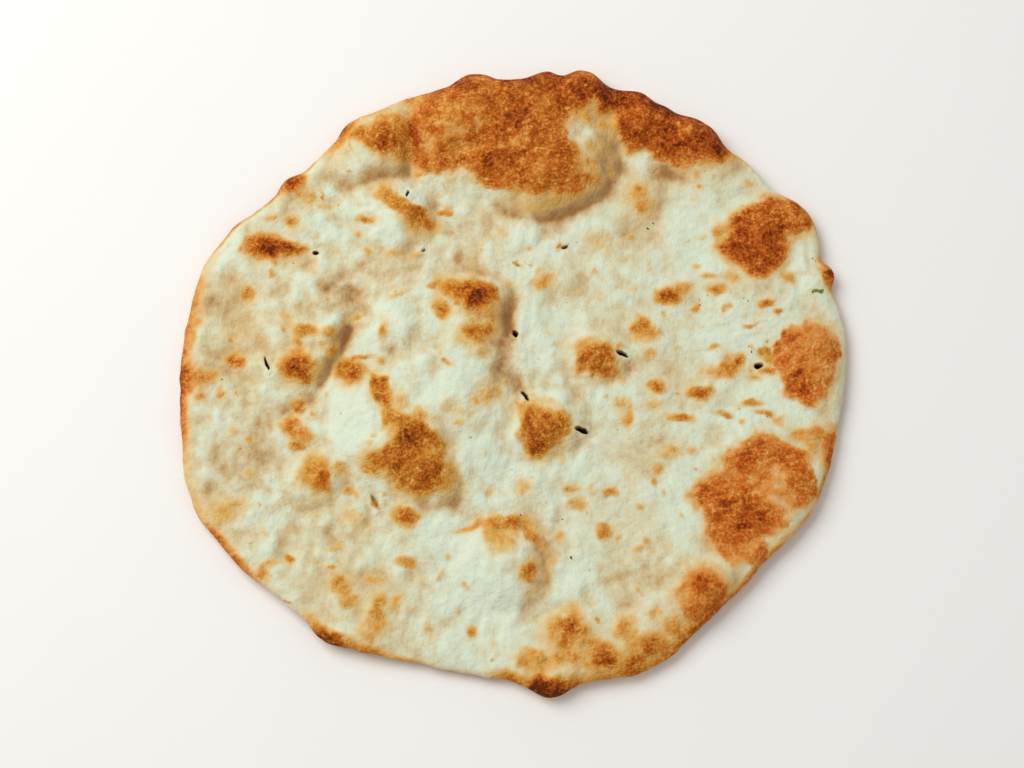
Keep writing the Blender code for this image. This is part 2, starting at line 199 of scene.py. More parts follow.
def raggedEdge(angle):
    # small crinkles of the rim
    radius = bread["edgeNoiseRadius"]
    return waves(radius * np.cos(angle), radius * np.sin(angle), bread["edgeNoise"])


def noise(x, y, wave):
    # smooth random humps and hollows from a lattice of random values
    along, across, height, turn, seed = wave
    size = bread["noiseSize"]
    lattice = np.random.default_rng(seed).uniform(-1.0, 1.0, (size, size))
    turned = radians(turn)
    u = (x * cos(turned) + y * sin(turned)) / along + size / 2
    v = (y * cos(turned) - x * sin(turned)) / across + size / 2
    i = np.floor(u).astype(int)
    j = np.floor(v).astype(int)
    shareU = smoothStep(u - i)
    shareV = smoothStep(v - j)
    i, nextI, j, nextJ = i % size, (i + 1) % size, j % size, (j + 1) % size
    low = lattice[i, j] * (1.0 - shareU) + lattice[nextI, j] * shareU
    high = lattice[i, nextJ] * (1.0 - shareU) + lattice[nextI, nextJ] * shareU
    return height * (low * (1.0 - shareV) + high * shareV)


def waves(x, y, layers):
    return sum(noise(x, y, wave) for wave in layers)


def ovalPlace(x, y, oval):
    # place along and across an oval, whose foot is 1 from its middle
    midX, midY, halfLength, halfWidth, turn = oval[:5]
    turned = radians(turn)
    along = (x - midX) * cos(turned) + (y - midY) * sin(turned)
    across = (y - midY) * cos(turned) - (x - midX) * sin(turned)
    return along / halfLength, across / halfWidth


def blisterHeight(x, y):
    warpedX = x + waves(x, y, bread["warpsX"])
    warpedY = y + waves(x, y, bread["warpsY"])
    total = np.zeros_like(x)
    for blister in bread["blisters"]:
        along, across = ovalPlace(warpedX, warpedY, blister)
        inside = np.clip(1.0 - along**2 - across**2, 0.0, 1.0)
        heading = radians(bread["leanHeading"] - blister[4])
        leaning = 1.0 + bread["lean"] * (along * cos(heading) + across * sin(heading))
        total += (blister[5] * leaning * inside ** blister[6]) ** bread["creaseSharpness"]
    return np.hypot(total ** (1.0 / bread["creaseSharpness"]), bread["footFillet"]) - bread["footFillet"]


def linePlace(x, y, x0, y0, x1, y1):
    # share of the way along a line, and distance from it
    runX, runY = x1 - x0, y1 - y0
    share = np.clip(((x - x0) * runX + (y - y0) * runY) / (runX**2 + runY**2), 0.0, 1.0)
    return share, np.hypot(x - x0 - share * runX, y - y0 - share * runY)


def creaseDepth(x, y, creases):
    depth = np.zeros_like(x)
    for *ends, halfWidth, deep in creases:
        share, away = linePlace(x, y, *ends)
        depth += deep * 2.0 * np.sqrt(share * (1.0 - share)) * bell(away, halfWidth)
    return depth


def scatter(facts):
    # ovals at random over the whole disc, small ones more often as sizeBias rises
    rng = np.random.default_rng(facts["seed"])
    ovals = []
    for _ in range(facts["count"]):
        distance = facts["reach"] * np.sqrt(rng.random())
        angle = rng.uniform(0.0, 2.0 * pi)
        size = facts["least"] + (facts["most"] - facts["least"]) * rng.random() ** facts["sizeBias"]
        across = size * rng.uniform(0.6, 1.0)
        oval = [distance * cos(angle), distance * sin(angle), size, across, rng.uniform(0.0, 180.0)]
        if "strength" in facts:
            oval.append(rng.uniform(*facts["strength"]))
        ovals.append(oval)
    return ovals


def smallBlisterHeight(x, y):
    # bubbles of a few millimetres, scattered over the whole sheet
    facts = bread["smallBlisters"]
    height = np.zeros_like(x)
    for oval in scatter(facts):
        inside = np.clip(1.0 - np.hypot(*ovalPlace(x, y, oval)) ** 2, 0.0, 1.0)
        height = np.maximum(height, facts["height"] * oval[2] * inside ** facts["softness"])
    return height


def prickDistance(x, y):
    # 1 on the torn lip of the nearest prick, less inside; and that prick's depth
    nearest = np.full_like(x, 99.0)
    depth = np.zeros_like(x)
    raggedX, raggedY = (place + noise(x, y, wave) for place, wave in zip((x, y), bread["prickWarps"]))
    for prick in bread["pricks"]:
        away = np.hypot(*ovalPlace(raggedX, raggedY, prick))
        depth = np.where(away < nearest, prick[5], depth)
        nearest = np.minimum(nearest, away)
    return nearest, depth


def edgeLift(angle):
    up = np.zeros_like(angle)
    for heading, halfWidth, height in bread["edgeLifts"]:
        up += height * bell(turnAway(angle, heading), halfWidth)
    return up


def liftedBy(x, y):
    angle = np.arctan2(y, x)
    return edgeLift(angle) * fade(np.hypot(x, y) / edgeRadius(angle), bread["liftStart"], 1.0)


def underHeight(x, y):
    height = liftedBy(x, y)
    for hollow in bread["underHollows"]:
        height = height + hollow[5] * smoothStep(1.0 - np.hypot(*ovalPlace(x, y, hollow)))
    return height


def mainHeight(x, y):
    # the same relief as the solid's
    humps = waves(x, y, bread["swells"])
    return liftedBy(x, y) + bread["crumb"] + humps + blisterHeight(x, y) - creaseDepth(x, y, bread["creases"])


def topHeight(x, y):
    coarse = mainHeight(x, y)
    lively = 1.0
    for place, (start, end, share) in ((x, bread["calmSide"]), (coarse, bread["tightSkin"])):
        lively = lively * (1.0 - share * fade(place, start, end))
    fine = waves(x, y, bread["fineSwells"]) * lively
    fine = fine + smallBlisterHeight(x, y) - creaseDepth(x, y, bread["fineCreases"])
    away, depth = prickDistance(x, y)
    lipHeight, lipPlace, lipWidth = bread["prickLip"]
    wallStart, wallWidth = bread["prickWall"]
    lip = lipHeight * bell(away - lipPlace, lipWidth)
    return coarse + fine + lip - depth * smoothStep((wallStart - away) / wallWidth)


def rounded(inset, rounding):
    # rises from 0 at the edge to 1 at the end of the rounding
    share = 1.0 - np.clip(inset / rounding, 0.0, 1.0)
    return np.sqrt(1.0 - share**2)


def ringPlan(count, discShare=None, inset=None):
    angle = np.arange(count) * 2.0 * pi / count
    edge = edgeRadius(angle)
    radius = (edge - bread["discInset"]) * discShare if inset is None else edge - inset
    return np.stack([radius * np.cos(angle), radius * np.sin(angle)], axis=1)


def faceRings(rings, rounding, steps):
    found = [ringPlan(1, discShare=0.0)]
    found += [ringPlan(6 * k, discShare=k / rings) for k in range(1, rings + 1)]
    for k in range(steps, 0, -1):
        found.append(ringPlan(6 * bread["topRings"], inset=rounding * (1.0 - cos(0.5 * pi * k / steps))))
    return found


def stitch(mesh, inner, outer, facesUp):
    # triangles between two rings, each time a step along the one that lags behind
    innerSteps = len(inner) if len(inner) > 1 else 0
    i = j = 0
    while i < innerSteps or j < len(outer):
        base = (inner[i % len(inner)], outer[j % len(outer)])
        innerLags = i < innerSteps and (i + 1) * len(outer) <= (j + 1) * innerSteps
        if innerLags or j == len(outer):
            i += 1
            corners = (*base, inner[i % len(inner)])
        else:
            j += 1
            corners = (*base, outer[j % len(outer)])
        mesh.faces.new(corners if facesUp else corners[::-1])


def buildPlan():
    # both faces as flat rings, the upper at z = 1 and the under one at z = 0, on one shared edge
    mesh = bmesh.new()
    edge = [mesh.verts.new((*point, 1.0)) for point in ringPlan(6 * bread["topRings"], inset=0.0)]
    faces = (
        (1.0, bread["topRings"], bread["rimRoundTop"], bread["rimStepsTop"]),
        (0.0, bread["underRings"], bread["rimRoundUnder"], bread["rimStepsUnder"]),
    )
    for level, rings, rounding, steps in faces:
        loops = [[mesh.verts.new((*p, level)) for p in ring] for ring in faceRings(rings, rounding, steps)]
        loops.append(edge)
        for inner, outer in zip(loops, loops[1:]):
            stitch(mesh, inner, outer, level == 1.0)
    return mesh


def refinePricks(mesh):
    # finer triangles round each prick, so that its torn walls stand steep
    places = [prick[:3] for prick in bread["pricks"]]
    for _ in range(bread["prickCuts"]):
        near = []
        for edge in mesh.edges:
            middle = (edge.verts[0].co + edge.verts[1].co) / 2
            if min(edge.verts[0].co.z, edge.verts[1].co.z) < 1.0:
                continue
            for prickX, prickY, halfLength in places:
                reach = halfLength + bread["prickMargin"]
                if abs(middle.x - prickX) < reach and abs(middle.y - prickY) < reach:
                    near.append(edge)
                    break
        bmesh.ops.subdivide_edges(mesh, edges=near, cuts=1)
        bmesh.ops.triangulate(mesh, faces=[face for face in mesh.faces if len(face.verts) > 3])


def meshData(name, mesh):
    data = bpy.data.meshes.new(name)
    mesh.to_mesh(data)
    mesh.free()
    data.shade_smooth()
    return data


def addObject(name, data):
    made = bpy.data.objects.new(name, data)
    bpy.context.scene.collection.objects.link(made)
    return made


print("naan: plan of rings")
plan = buildPlan()
refinePricks(plan)
breadData = meshData("naan_bread", plan)

flat = np.empty(len(breadData.vertices) * 3)
breadData.vertices.foreach_get("co", flat)
flat = flat.reshape(-1, 3)
planX, planY = flat[:, 0], flat[:, 1]
onTop = flat[:, 2] > 0.5

print("naan: relief of", len(planX), "points")
planAngle = np.arctan2(planY, planX)
planInset = edgeRadius(planAngle) - np.hypot(planX, planY)
midline = edgeLift(planAngle) + bread["rimMidline"]
upper = midline + (topHeight(planX, planY) - midline) * rounded(planInset, bread["rimRoundTop"])
under = midline - (midline - underHeight(planX, planY)) * rounded(planInset, bread["rimRoundUnder"])
planZ = np.where(onTop, upper, under)

# the plan goes where the frame's own solid is: middle on middle, underside on the table
outline = ringPlan(6 * bread["topRings"], inset=0.0)
outlineMiddle = (outline.min(axis=0) + outline.max(axis=0)) / 2
solidLow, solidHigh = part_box("naan")
planOrigin = Vector((
    (solidLow.x + solidHigh.x) / 2 - outlineMiddle[0] * mm,
    (solidLow.y + solidHigh.y) / 2 - outlineMiddle[1] * mm,
    solidLow.z,
))


def toFrame(points):
    return points * mm + np.array(planOrigin)


breadData.vertices.foreach_set("co", toFrame(np.stack([planX, planY, planZ], axis=1)).ravel())
breadData.update()
naan = addObject("naan_bread", breadData)
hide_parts("naan")
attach(naan, "root")

# where the oven browned it, and where shade and highlight are painted on the dough
browning = {
    "edgeWarpsX": [(8.0, 8.0, 1.2, 25, 51), (3.4, 3.4, 0.9, 50, 52), (1.7, 1.7, 0.45, 15, 55)],
    "edgeWarpsY": [(8.0, 8.0, 1.2, 70, 53), (3.4, 3.4, 0.9, 5, 54), (1.7, 1.7, 0.45, 75, 56)],
    "blur": (13.0, 13.0, 0.75, 40, 57),    # how the softness of the edges varies
    "glow": (7.0, 7.0, 0.26, 10, 58),      # how the golden fringe round a patch varies
    # inside the brown: lighter and darker clouds
    "clouds": [(12.0, 9.0, 0.12, 15, 81), (5.0, 4.0, 0.12, 60, 82), (2.4, 2.0, 0.08, 30, 83)],
    "blurMiddle": 1.15,
    "glowMiddle": 0.32,
    "glowReach": 3.4,      # of the fringe, at a softness of 1
    "edgeDepth": 4.0,      # over which a patch browns, at a softness of 1
    "heart": (6.0, 0.16),  # how deep inside a patch it is brownest, and by how much
    "overlap": 0.12,       # share of the weaker browning that adds to the stronger
    "redStart": 0.2,
    "redGrip": 1.5,        # how soon the redness follows the browning
    "spotSharpness": 2.1,
    "spotHeat": 1.04,
    "cloudFrom": (0.12, 0.4),   # browning where the clouds start, and over how much they come in
    "mottles": {
        "count": 360, "seed": 19, "reach": 114.0, "least": 0.9, "most": 3.6, "sizeBias": 2.5,
        "strength": (0.4, 1.0), "hottest": 0.36, "redness": 0.15,
    },
    # the unbrowned dough's tint: 0 is white, 1 is tan; tan tone, and painted shade in hollows and on slopes
    # that fall away from the key light
    "tanAndShade": {
        "middle": 0.23,
        "waves": [(19, 19, 0.2, 20, 71), (7, 7, 0.18, 55, 72), (3.2, 3.2, 0.1, 30, 73)],
        "hollow": 0.55,
        "awayFromLight": 1.3,
        "most": 1.3,
    },
    # the relief is read on a grid: half its side, its step, the rings that even it out, and how many ways
    "relief": {"reach": 125.0, "step": 0.5, "even": (1.0, 1.5), "turns": 12},
    "hollowRings": ((2.0, 0.9), (5.0, 0.6)),   # how far off the surroundings lie, and how much they count
    "shadeFalls": (0.8, 0.6, 0.04),    # painted shade: how much a fall towards +X and towards -Y, away from the key light, counts, and what is left out
    "torn": (1.2, 0.5, 2.4),         # painted shade inside a prick: its edge, its width, and the depth of the darkest
    # patches: heat, redness, softness of the edge, outline
    "patches": {
        "great blister": (0.6, 0.5, 1.2, [
            (-36, 122), (-35.5, 84), (-32, 80), (-22, 81.5), (-15, 79), (-8, 75), (1, 72.3), (9, 71.4),
            (19, 71.6), (26, 74), (30, 77.5), (26.5, 81), (25.5, 85), (25, 90.6), (22, 94), (21.2, 98),
            (24, 102.8), (28.5, 106.5), (35, 106), (42, 122)]),
        "far rim": (0.74, 0.65, 1.0, [
            (33, 122), (32, 108), (36, 105), (39.5, 94), (44.7, 90), (49, 91), (53.5, 86), (62.8, 83),
            (68, 84.5), (73, 87), (78, 84), (83, 90), (74, 108)]),
        "left of the far rim": (0.5, 0.3, 1.5, [
            (-60, 98), (-57, 93), (-52, 89), (-48, 85.5), (-43, 84.5), (-38, 86), (-35.5, 92), (-35.5, 104),
            (-42, 105), (-50, 103)]),
        "right upper": (0.62, 0.7, 0.9, [
            (74, 52), (78, 60), (83, 66), (92, 69.5), (96, 71.5), (104, 70), (112, 66), (110, 58), (101, 57),
            (100, 47), (96.4, 42), (92, 38.5), (86, 41), (79, 46.5)]),
        "right": (0.53, 0.75, 0.8, [
            (94.4, 14), (98.6, 19), (104, 22), (109, 23.5), (114, 22), (117.3, 18.4), (118.3, 14), (117.5, 8),
            (115.7, 3), (114, -2.5), (111.5, -6), (108, -8.5), (103.5, -7.5), (100, -5), (97.3, -0.5),
            (95.5, 4.5), (94.2, 9)]),
        "right lower": (0.56, 0.75, 0.9, [
            (63.5, -41), (70, -35.5), (77, -29), (81, -22.5), (87, -19.3), (93.6, -18), (99, -21),
            (103.5, -25), (107, -30.5), (108.6, -36), (108, -42.4), (104.5, -46), (99.5, -48.5), (99.5, -53),
            (95.5, -55.5), (91.5, -58), (91, -64), (88, -69), (83.5, -66.5), (76, -66), (71.6, -61),
            (69, -55), (70, -50.5), (67.5, -46.5)]),
        "right rim": (0.54, 0.8, 1.3, [(111, -18), (118, -17), (117, -33), (112, -31)]),
        "lower right": (0.52, 0.65, 0.8, [
            (56.3, -77.5), (57.5, -73.5), (61.5, -70.5), (68, -68), (74, -69), (77, -73), (76, -80),
            (74, -86), (71, -92), (65.5, -89), (59.5, -84.5)]),
        "long lobe": (0.59, 0.14, 1.2, [
            (-52, 3), (-45, 3), (-44, -5), (-40, -10), (-31, -14), (-28.5, -17.5), (-24, -25), (-22.5, -31),
            (-24, -38), (-29.5, -42), (-35, -43.5), (-40.5, -39.5), (-45, -33), (-49, -33), (-54, -27),
            (-47.7, -25), (-44.6, -20.5), (-46, -14), (-46.4, -9.5), (-50, -6.5), (-52, -1)]),
        "middle": (0.63, 0.2, 0.8, [
            (0.5, -7.5), (7, -7), (13, -8), (18.5, -9.5), (22.3, -14), (22, -17.5), (18.5, -21), (14, -25),
            (10, -29), (6.7, -27.6), (5, -21), (3.1, -16.3), (1.3, -11.6)]),
        "right of the middle": (0.57, 0.25, 0.8, [
            (24.5, 15.6), (28.5, 17.8), (34, 17), (36.8, 13.7), (37.5, 10.9), (39.6, 7.1), (39.3, 3.2),
            (34.8, 1.2), (30, 2), (26.6, 4.6), (22.8, 4), (24, 9), (23.2, 12.8)]),
        "upper left": (0.74, 0.5, 0.6, [
            (-98.4, 51), (-97.8, 55.3), (-93.4, 57), (-89, 56.4), (-84.5, 55.6), (-80, 54), (-75.7, 51.8),
            (-79, 49.5), (-84, 49.2), (-87.3, 46), (-90.6, 48.4), (-95.6, 49.2)]),
        "left single": (0.56, 0.2, 1.2, [
            (-50, 72.5), (-47, 75), (-42, 73.5), (-36.5, 69), (-31, 66.5), (-29, 61), (-31, 58.5), (-36, 59),
            (-39, 63), (-43.5, 66), (-48.5, 69)]),
    },
    # spots: middle, half length, half width, turn, heat, redness
    "spots": [
        (-31, -31, 8, 9, 0, 0.34, 0.1), (-39, -27, 5, 4, 20, 0.36, 0.1),
        (-48.4, -2.5, 4.4, 4.6, 0, 0.36, 0.1), (-44.5, -9, 5.4, 3.6, -50, 0.44, 0.1),
        # the spot at (-8, 25) is tan browning and painted shade on the right flank of the middle blister
        (-8, 25, 4.4, 8, -12, 0.32, 0.15), (-17, 36.4, 11.5, 4.2, -8, 0.56, 0.3),
        (-12, 33.5, 7.4, 6.4, -35, 0.72, 0.4), (-25.5, 29, 3.6, 6.5, 0, 0.4, 0.15),
        (-13, 19.5, 6.6, 5.8, -5, 0.6, 0.1), (-11, 12, 6, 4, 0, 0.24, 0.1),
        (-27, 37.2, 4.5, 1.6, 10, 0.44, 0.4), (-15, 27, 7.5, 2.6, 0, 0.28, 0.1),
        (14, -15, 5.5, 6, 10, 0.54, 0.2), (10, -25, 3, 4, 0, 0.54, 0.1), (33, 7, 5.5, 5.5, 0, 0.52, 0.2),
        (-58, 4.8, 6.6, 5.6, 10, 0.48, 0.15), (-55, 10.5, 6.5, 1.2, 10, 0.42, 0.4),
        (-46, 19, 3, 7.5, 0, 0.24, 0.1), (-47, 9, 3, 2.6, 0, 0.34, 0.1), (-40, 33, 7, 1.6, 25, 0.24, 0.5),
        (-77.5, 7, 6.0, 5.6, 0, 0.76, 0.3), (-77, 6.5, 9.5, 8.5, 0, 0.3, 0.1),
        (-75.5, 20.6, 5.5, 2.8, -5, 0.44, 0.2), (-78, 16, 2, 4, 20, 0.34, 0.1),
        (-66.5, 19.7, 4.5, 3, 0, 0.36, 0.2), (-66, 13, 3, 5, 0, 0.34, 0.1),
        (-77.3, -7.9, 3.2, 3.0, 0, 0.48, 0.2), (-79, -16.6, 5.5, 2.8, -5, 0.66, 0.5),
        (-76, -19, 5, 4, 0, 0.4, 0.2), (-77.3, -22.8, 3.6, 2.4, 10, 0.48, 0.2),
        (-71, -33, 6, 8, 20, 0.46, 0.15), (-67.5, -35, 3.2, 6.5, 10, 0.5, 0.2),
        (-46, 93, 6.6, 7.4, 0, 0.72, 0.4), (-57, 97, 5, 3.4, 30, 0.46, 0.3),
        (-40, 99.5, 4.5, 1.8, 0, 0.55, 0.5), (-82, 76, 5.5, 3.6, 42, 0.72, 0.7),
        (-82, 62, 3.4, 2.4, 0, 0.56, 0.3), (-97, 33.2, 3.3, 3.5, 0, 0.44, 0.2),
        (-100.4, 8.7, 4.2, 3.8, 0, 0.6, 0.4), (-113, 3, 5, 4, 0, 0.46, 0.5),
        (-112, -4, 3.4, 3.4, 0, 0.38, 0.4), (-108, 4, 3, 2.6, 0, 0.5, 0.6),
        (-104, -4, 2.4, 3.4, 0, 0.34, 0.3), (-95, -20, 2.4, 1.4, 0, 0.36, 0.3),
        (-98, -45, 7, 3.5, 10, 0.22, 0.2), (-79, -65, 1.8, 1.8, 0, 0.44, 0.3),
        (-88, -69, 2.8, 2.6, 0, 0.5, 0.4), (-65, -68, 2.0, 1.2, 0, 0.4, 0.2),
        (-49, -72, 3.4, 1.8, -5, 0.36, 0.2), (-38, -49, 5.2, 3.8, -10, 0.56, 0.3),
        (-38, -65, 3.6, 2.6, -10, 0.56, 0.2), (-62, -30, 4.4, 1.8, 0, 0.26, 0.2),
        (-58, -41, 4.4, 2.8, -15, 0.3, 0.2), (-56, -51, 8, 4, -40, 0.28, 0.2),
        (-61, -74, 4.5, 4, -30, 0.46, 0.2), (-58, -80, 4.2, 3.4, 0, 0.42, 0.2),
        (-47, -79, 3.5, 4, 0, 0.38, 0.2), (-47, -86, 4, 6, 0, 0.5, 0.3), (-41, -80, 3, 3, 0, 0.3, 0.2),
        (-50, -92, 6, 4, 0, 0.3, 0.2), (-62, 88, 8, 6, 30, 0.16, 0.1), (-69, 83, 5, 4, 0, 0.14, 0.1),
        (-35, 50, 5, 2, 5, 0.24, 0.2), (-43, 50, 4, 2, 0, 0.26, 0.2), (-53, 63, 3.4, 2.4, 0, 0.4, 0.2),
        (-25, 66, 4, 1.8, -5, 0.38, 0.3), (-76, -9, 2, 2, 0, 0.3, 0.2), (-17, -75, 2, 1.6, 0, 0.24, 0.2),
        (-24, 8, 2.2, 1.6, 0, 0.3, 0.4), (-14, -91, 2.2, 2.8, 0, 0.38, 0.3), (-29, -89, 3, 2.8, 0, 0.26, 0.2),
        (3, -38, 4.4, 3.4, 0, 0.3, 0.1), (22, -45, 5, 2.8, -15, 0.44, 0.2), (20, -38, 3.4, 1.8, 0, 0.38, 0.2),
        (34, -41, 3.4, 2.2, 0, 0.42, 0.2), (33, -55, 3.4, 3.2, 0, 0.44, 0.2),
        (16, -57, 2.4, 2.8, 0, 0.34, 0.2), (46, -46, 1.8, 1.8, 0, 0.32, 0.2),
        (48, -59, 3.0, 2.4, 0, 0.28, 0.1), (57, -26, 6.4, 3.4, 15, 0.3, 0.1),
        (57.5, 33.5, 5, 3.8, 10, 0.56, 0.35), (61, 36, 8, 4, 12, 0.32, 0.25),
        (74, 35.5, 4, 2.4, 0, 0.5, 0.35), (73, 40, 3.6, 1.4, 0, 0.36, 0.3), (47, 22, 3.2, 3.2, 0, 0.46, 0.2),
        (48, 19, 6, 5, 0, 0.3, 0.1), (52, -1, 3.8, 3.0, -10, 0.5, 0.3), (67.5, -3.6, 5, 3.8, -5, 0.5, 0.3),
        (78, 5.5, 7.2, 4.6, 12, 0.48, 0.4), (92.6, 5, 3, 2.4, 0, 0.4, 0.5),
        (103, -18.5, 4, 2.4, 0, 0.42, 0.4), (108, -22, 4, 5, 0, 0.3, 0.4), (110, -18, 3.6, 2.8, 0, 0.48, 0.5),
        (106, -27, 3, 4, 0, 0.26, 0.4), (96, -13.5, 4, 2, 0, 0.26, 0.3), (-23, -8, 5, 3.4, 0, 0.24, 0.1),
        (83, 8, 3, 3.0, 0, 0.54, 0.4), (88, 2, 3.2, 2.2, 0, 0.34, 0.3), (93.5, 30.8, 3.2, 2.0, 0, 0.5, 0.4),
        (97.5, 27, 2.8, 1.5, 0, 0.46, 0.4), (78, 28, 2, 2.0, 0, 0.38, 0.3), (67, 29, 1.8, 2.4, 0, 0.42, 0.3),
        (88, 23, 4.2, 1.0, 0, 0.34, 0.3), (74, 13, 3.4, 1.2, -8, 0.36, 0.3),
        (38.6, -7.5, 4.6, 3.2, -10, 0.42, 0.2), (41, -12, 3, 4.6, 10, 0.42, 0.2),
        (61, -13, 5.4, 1.9, -12, 0.44, 0.3), (87, -6.5, 4, 1.6, 0, 0.36, 0.3),
        (91, -10.5, 4, 1.6, -10, 0.4, 0.3), (76, -12, 3.6, 1.5, 0, 0.38, 0.3),
        (83, -14, 2.4, 1.4, 0, 0.3, 0.3), (12, 38, 5, 4, 0, 0.36, 0.1), (46, 74.5, 3.0, 2.6, 0, 0.42, 0.2),
        (47.5, 68, 4, 3.6, 0, 0.4, 0.1), (47.5, 70, 7, 9, 10, 0.34, 0.05), (32, 52, 3, 3, 0, 0.2, 0.2),
        (87, 77, 2.4, 2.0, 0, 0.3, 0.3), (116.5, 42, 3.4, 3.6, -30, 0.72, 0.5), (70, 76, 2, 2, 0, 0.3, 0.3),
        (20, -89.5, 7.4, 8, 0, 0.6, 0.25), (20.5, -88.5, 5, 5.6, 0, 0.74, 0.25),
        (19, -92, 10, 9, 0, 0.34, 0.1), (9, -101, 10, 4.6, -8, 0.4, 0.15), (21, -100, 11, 5, 0, 0.44, 0.2),
        (28, -95, 4, 3, 0, 0.36, 0.2), (32.5, -100.5, 6, 5, 20, 0.7, 0.3), (40.5, -90, 5, 6, 0, 0.46, 0.3),
        (50, -95, 7, 6, 20, 0.46, 0.3), (51, -83, 3, 2.6, 0, 0.3, 0.2), (42, -100, 9, 5, 0, 0.48, 0.3),
        (56, -88, 5, 5, 0, 0.4, 0.2), (14, -112, 9, 5, 0, 0.8, 0.4), (10.5, -111, 5.5, 5, 0, 0.9, 0.35),
        (18, -114, 5, 3, 0, 0.9, 0.35), (100, -44, 6, 4, 0, 0.66, 0.7), (87, -50, 13, 5, 10, 0.78, 0.75),
        (84, -27, 9, 5, 20, 0.7, 0.75), (77, -45, 9, 5, 10, 0.66, 0.7), (90, 47, 8, 7, 0, 0.63, 0.7),
        (84, 57, 8, 6, 0, 0.72, 0.7), (68, -72, 7, 6, 0, 0.66, 0.7), (108, 12, 5, 5, 10, 0.5, 0.7),
        (103, -3, 6, 4, 10, 0.48, 0.8), (64, 92, 13, 6, -24, 0.76, 0.7), (-2, 86, 13, 4, 5, 0.6, 0.3),
        (18, 90, 5, 7, 0, 0.6, 0.3), (30, 112, 12, 5, -10, 0.74, 0.65), (-35.5, 98, 3, 15, 0, 0.62, 0.9),
        (28, 103, 3, 2.6, 0, 0.46, 0.2), (34, 99, 3.4, 4, 0, 0.36, 0.2), (29, 91, 3, 4, 0, 0.34, 0.1),
        (33, 91, 3, 4, 0, 0.28, 0.1), (29, 84, 4, 5, 0, 0.32, 0.1), (34, 105, 4, 3, 0, 0.5, 0.3),
        (-115, 20, 3, 6, 0, 0.34, 0.3), (-118, 4, 3.4, 9, 0, 0.5, 0.5), (38, 99, 3.4, 6, 0, 0.4, 0.3),
        (36.5, 87, 3.6, 7, 8, 0.2, 0.25), (30, 77, 4, 7, -35, 0.26, 0.1), (20, 70, 10, 3.4, 22, 0.26, 0.1),
        (9, 67.5, 12, 3, -4, 0.2, 0.1), (-75, 71, 4, 2, 20, 0.3, 0.2), (-69, 68, 5, 2, -10, 0.26, 0.2),
        (52, -8, 6, 3, 10, 0.22, 0.1), (29, 55, 6, 5, 0, 0.2, 0.1), (-104, -48, 8, 6, 40, 0.28, 0.2),
        (1.6, 45.4, 2.4, 1.0, -30, 0.34, 0.1), (-49, -43.5, 3, 1.2, -60, 0.36, 0.1),
        (-46, -13, 2.6, 5, -10, 0.36, 0.1), (-41, -6, 4.6, 4.6, 0, 0.28, 0.1),
        (112, 45, 2.0, 2.0, 0, 0.3, 0.4), (101, 40, 5, 3, -30, 0.32, 0.2), (77, 54, 4, 8, 15, 0.4, 0.2),
        (-88, 49, 12, 6, 0, 0.22, 0.2), (-9, -2, 6, 6, 0, 0.3, 0.05), (-34, -12, 5, 3, 0, 0.3, 0.1),
        (-63, -60, 2, 1.6, 0, 0.3, 0.2), (5, -69, 3.6, 4.2, 0, 0.48, 0.2), (5, -68, 6, 6, 0, 0.22, 0.1),
        (-4, -56.5, 6.4, 6.4, 0, 0.42, 0.15), (-14, -52.5, 8, 1.8, 18, 0.34, 0.3),
        (-2, -51.5, 9, 3.4, 2, 0.54, 0.3), (7, -56, 8, 3.0, -52, 0.42, 0.3),
        (10.5, -66, 8, 3.4, -84, 0.16, 0.1), (12.4, -69, 2.2, 8, 4, 0.24, 0.1),
        (6.5, -77, 6, 2.4, 30, 0.22, 0.1), (100, -60, 6, 10, -35, 0.3, 0.5), (92, -71, 8, 5, 40, 0.32, 0.5),
        (-12, 13, 7, 5, -10, 0.2, 0.05), (40, -50, 24, 18, 0, 0.1, 0.1), (45, 66, 20, 14, 0, 0.09, 0.1),
        (-100, 18, 12, 26, 0, 0.13, 0.2), (-60, -72, 26, 15, -30, 0.12, 0.1), (70, 2, 26, 12, 0, 0.08, 0.1),
        (30, -92, 34, 14, 5, 0.14, 0.1), (28, 84, 5, 10, -8, 0.2, 0.15), (16, 69, 16, 4, 10, 0.2, 0.15),
    ],
    # paler places inside the patches: middle, half length, half width, turn, how much
    "paler": [
        (23, 96.5, 2.8, 3.4, 0, 0.3), (-28, 95, 7, 5, 0, 0.2), (76, -36, 6, 4, 30, 0.12),
        (104, 14, 6, 4, 20, 0.12), (93, -33, 7, 5, -30, 0.2),
        (97, -43, 9, 3.4, -10, 0.24), (-9, 91, 14, 2.6, 12, 0.2), (-21, 96, 4, 4, 0, 0.14),
        (100, 64, 5, 2.6, -20, 0.22), (110, 12, 4.5, 5, 0, 0.16), (86, -58, 4, 6, 0, 0.18),
        (52, 103, 4, 2, 0, 0.2), (64, 97, 4, 3, -30, 0.22), (-31, 90, 3, 6, 0, 0.16),
        (10, 80, 6, 4, 0, 0.12), (78, -56, 3, 4, 0, 0.12), (62, -76, 3, 3, 0, 0.14),
    ],
    # browned rim: heading, half width in degrees, reach inwards, heat, redness; from heading 290 to 320 the
    # brown is partly painted shade along the edge away from the key light
    "rims": [
        (181, 13, 3.4, 0.62, 0.8), (170, 16, 5.0, 0.36, 0.5), (150, 9, 1.6, 0.42, 0.4),
        (138, 9, 1.6, 0.5, 0.5), (122, 7, 5.0, 0.5, 0.3), (212, 9, 3.0, 0.52, 0.6), (205, 14, 5.0, 0.3, 0.4),
        (235, 6, 4.0, 0.84, 0.4), (241, 6, 4.0, 0.5, 0.3), (248, 8, 2.0, 0.32, 0.3),
        (262, 10, 1.6, 0.22, 0.3), (270, 5, 4.0, 0.5, 0.3), (277.5, 5.4, 5.0, 0.92, 0.4),
        (290, 10, 6.0, 0.5, 0.35), (303, 9, 4.5, 0.6, 0.4), (90, 26, 6.0, 0.74, 0.6), (62, 12, 6.0, 0.8, 0.6),
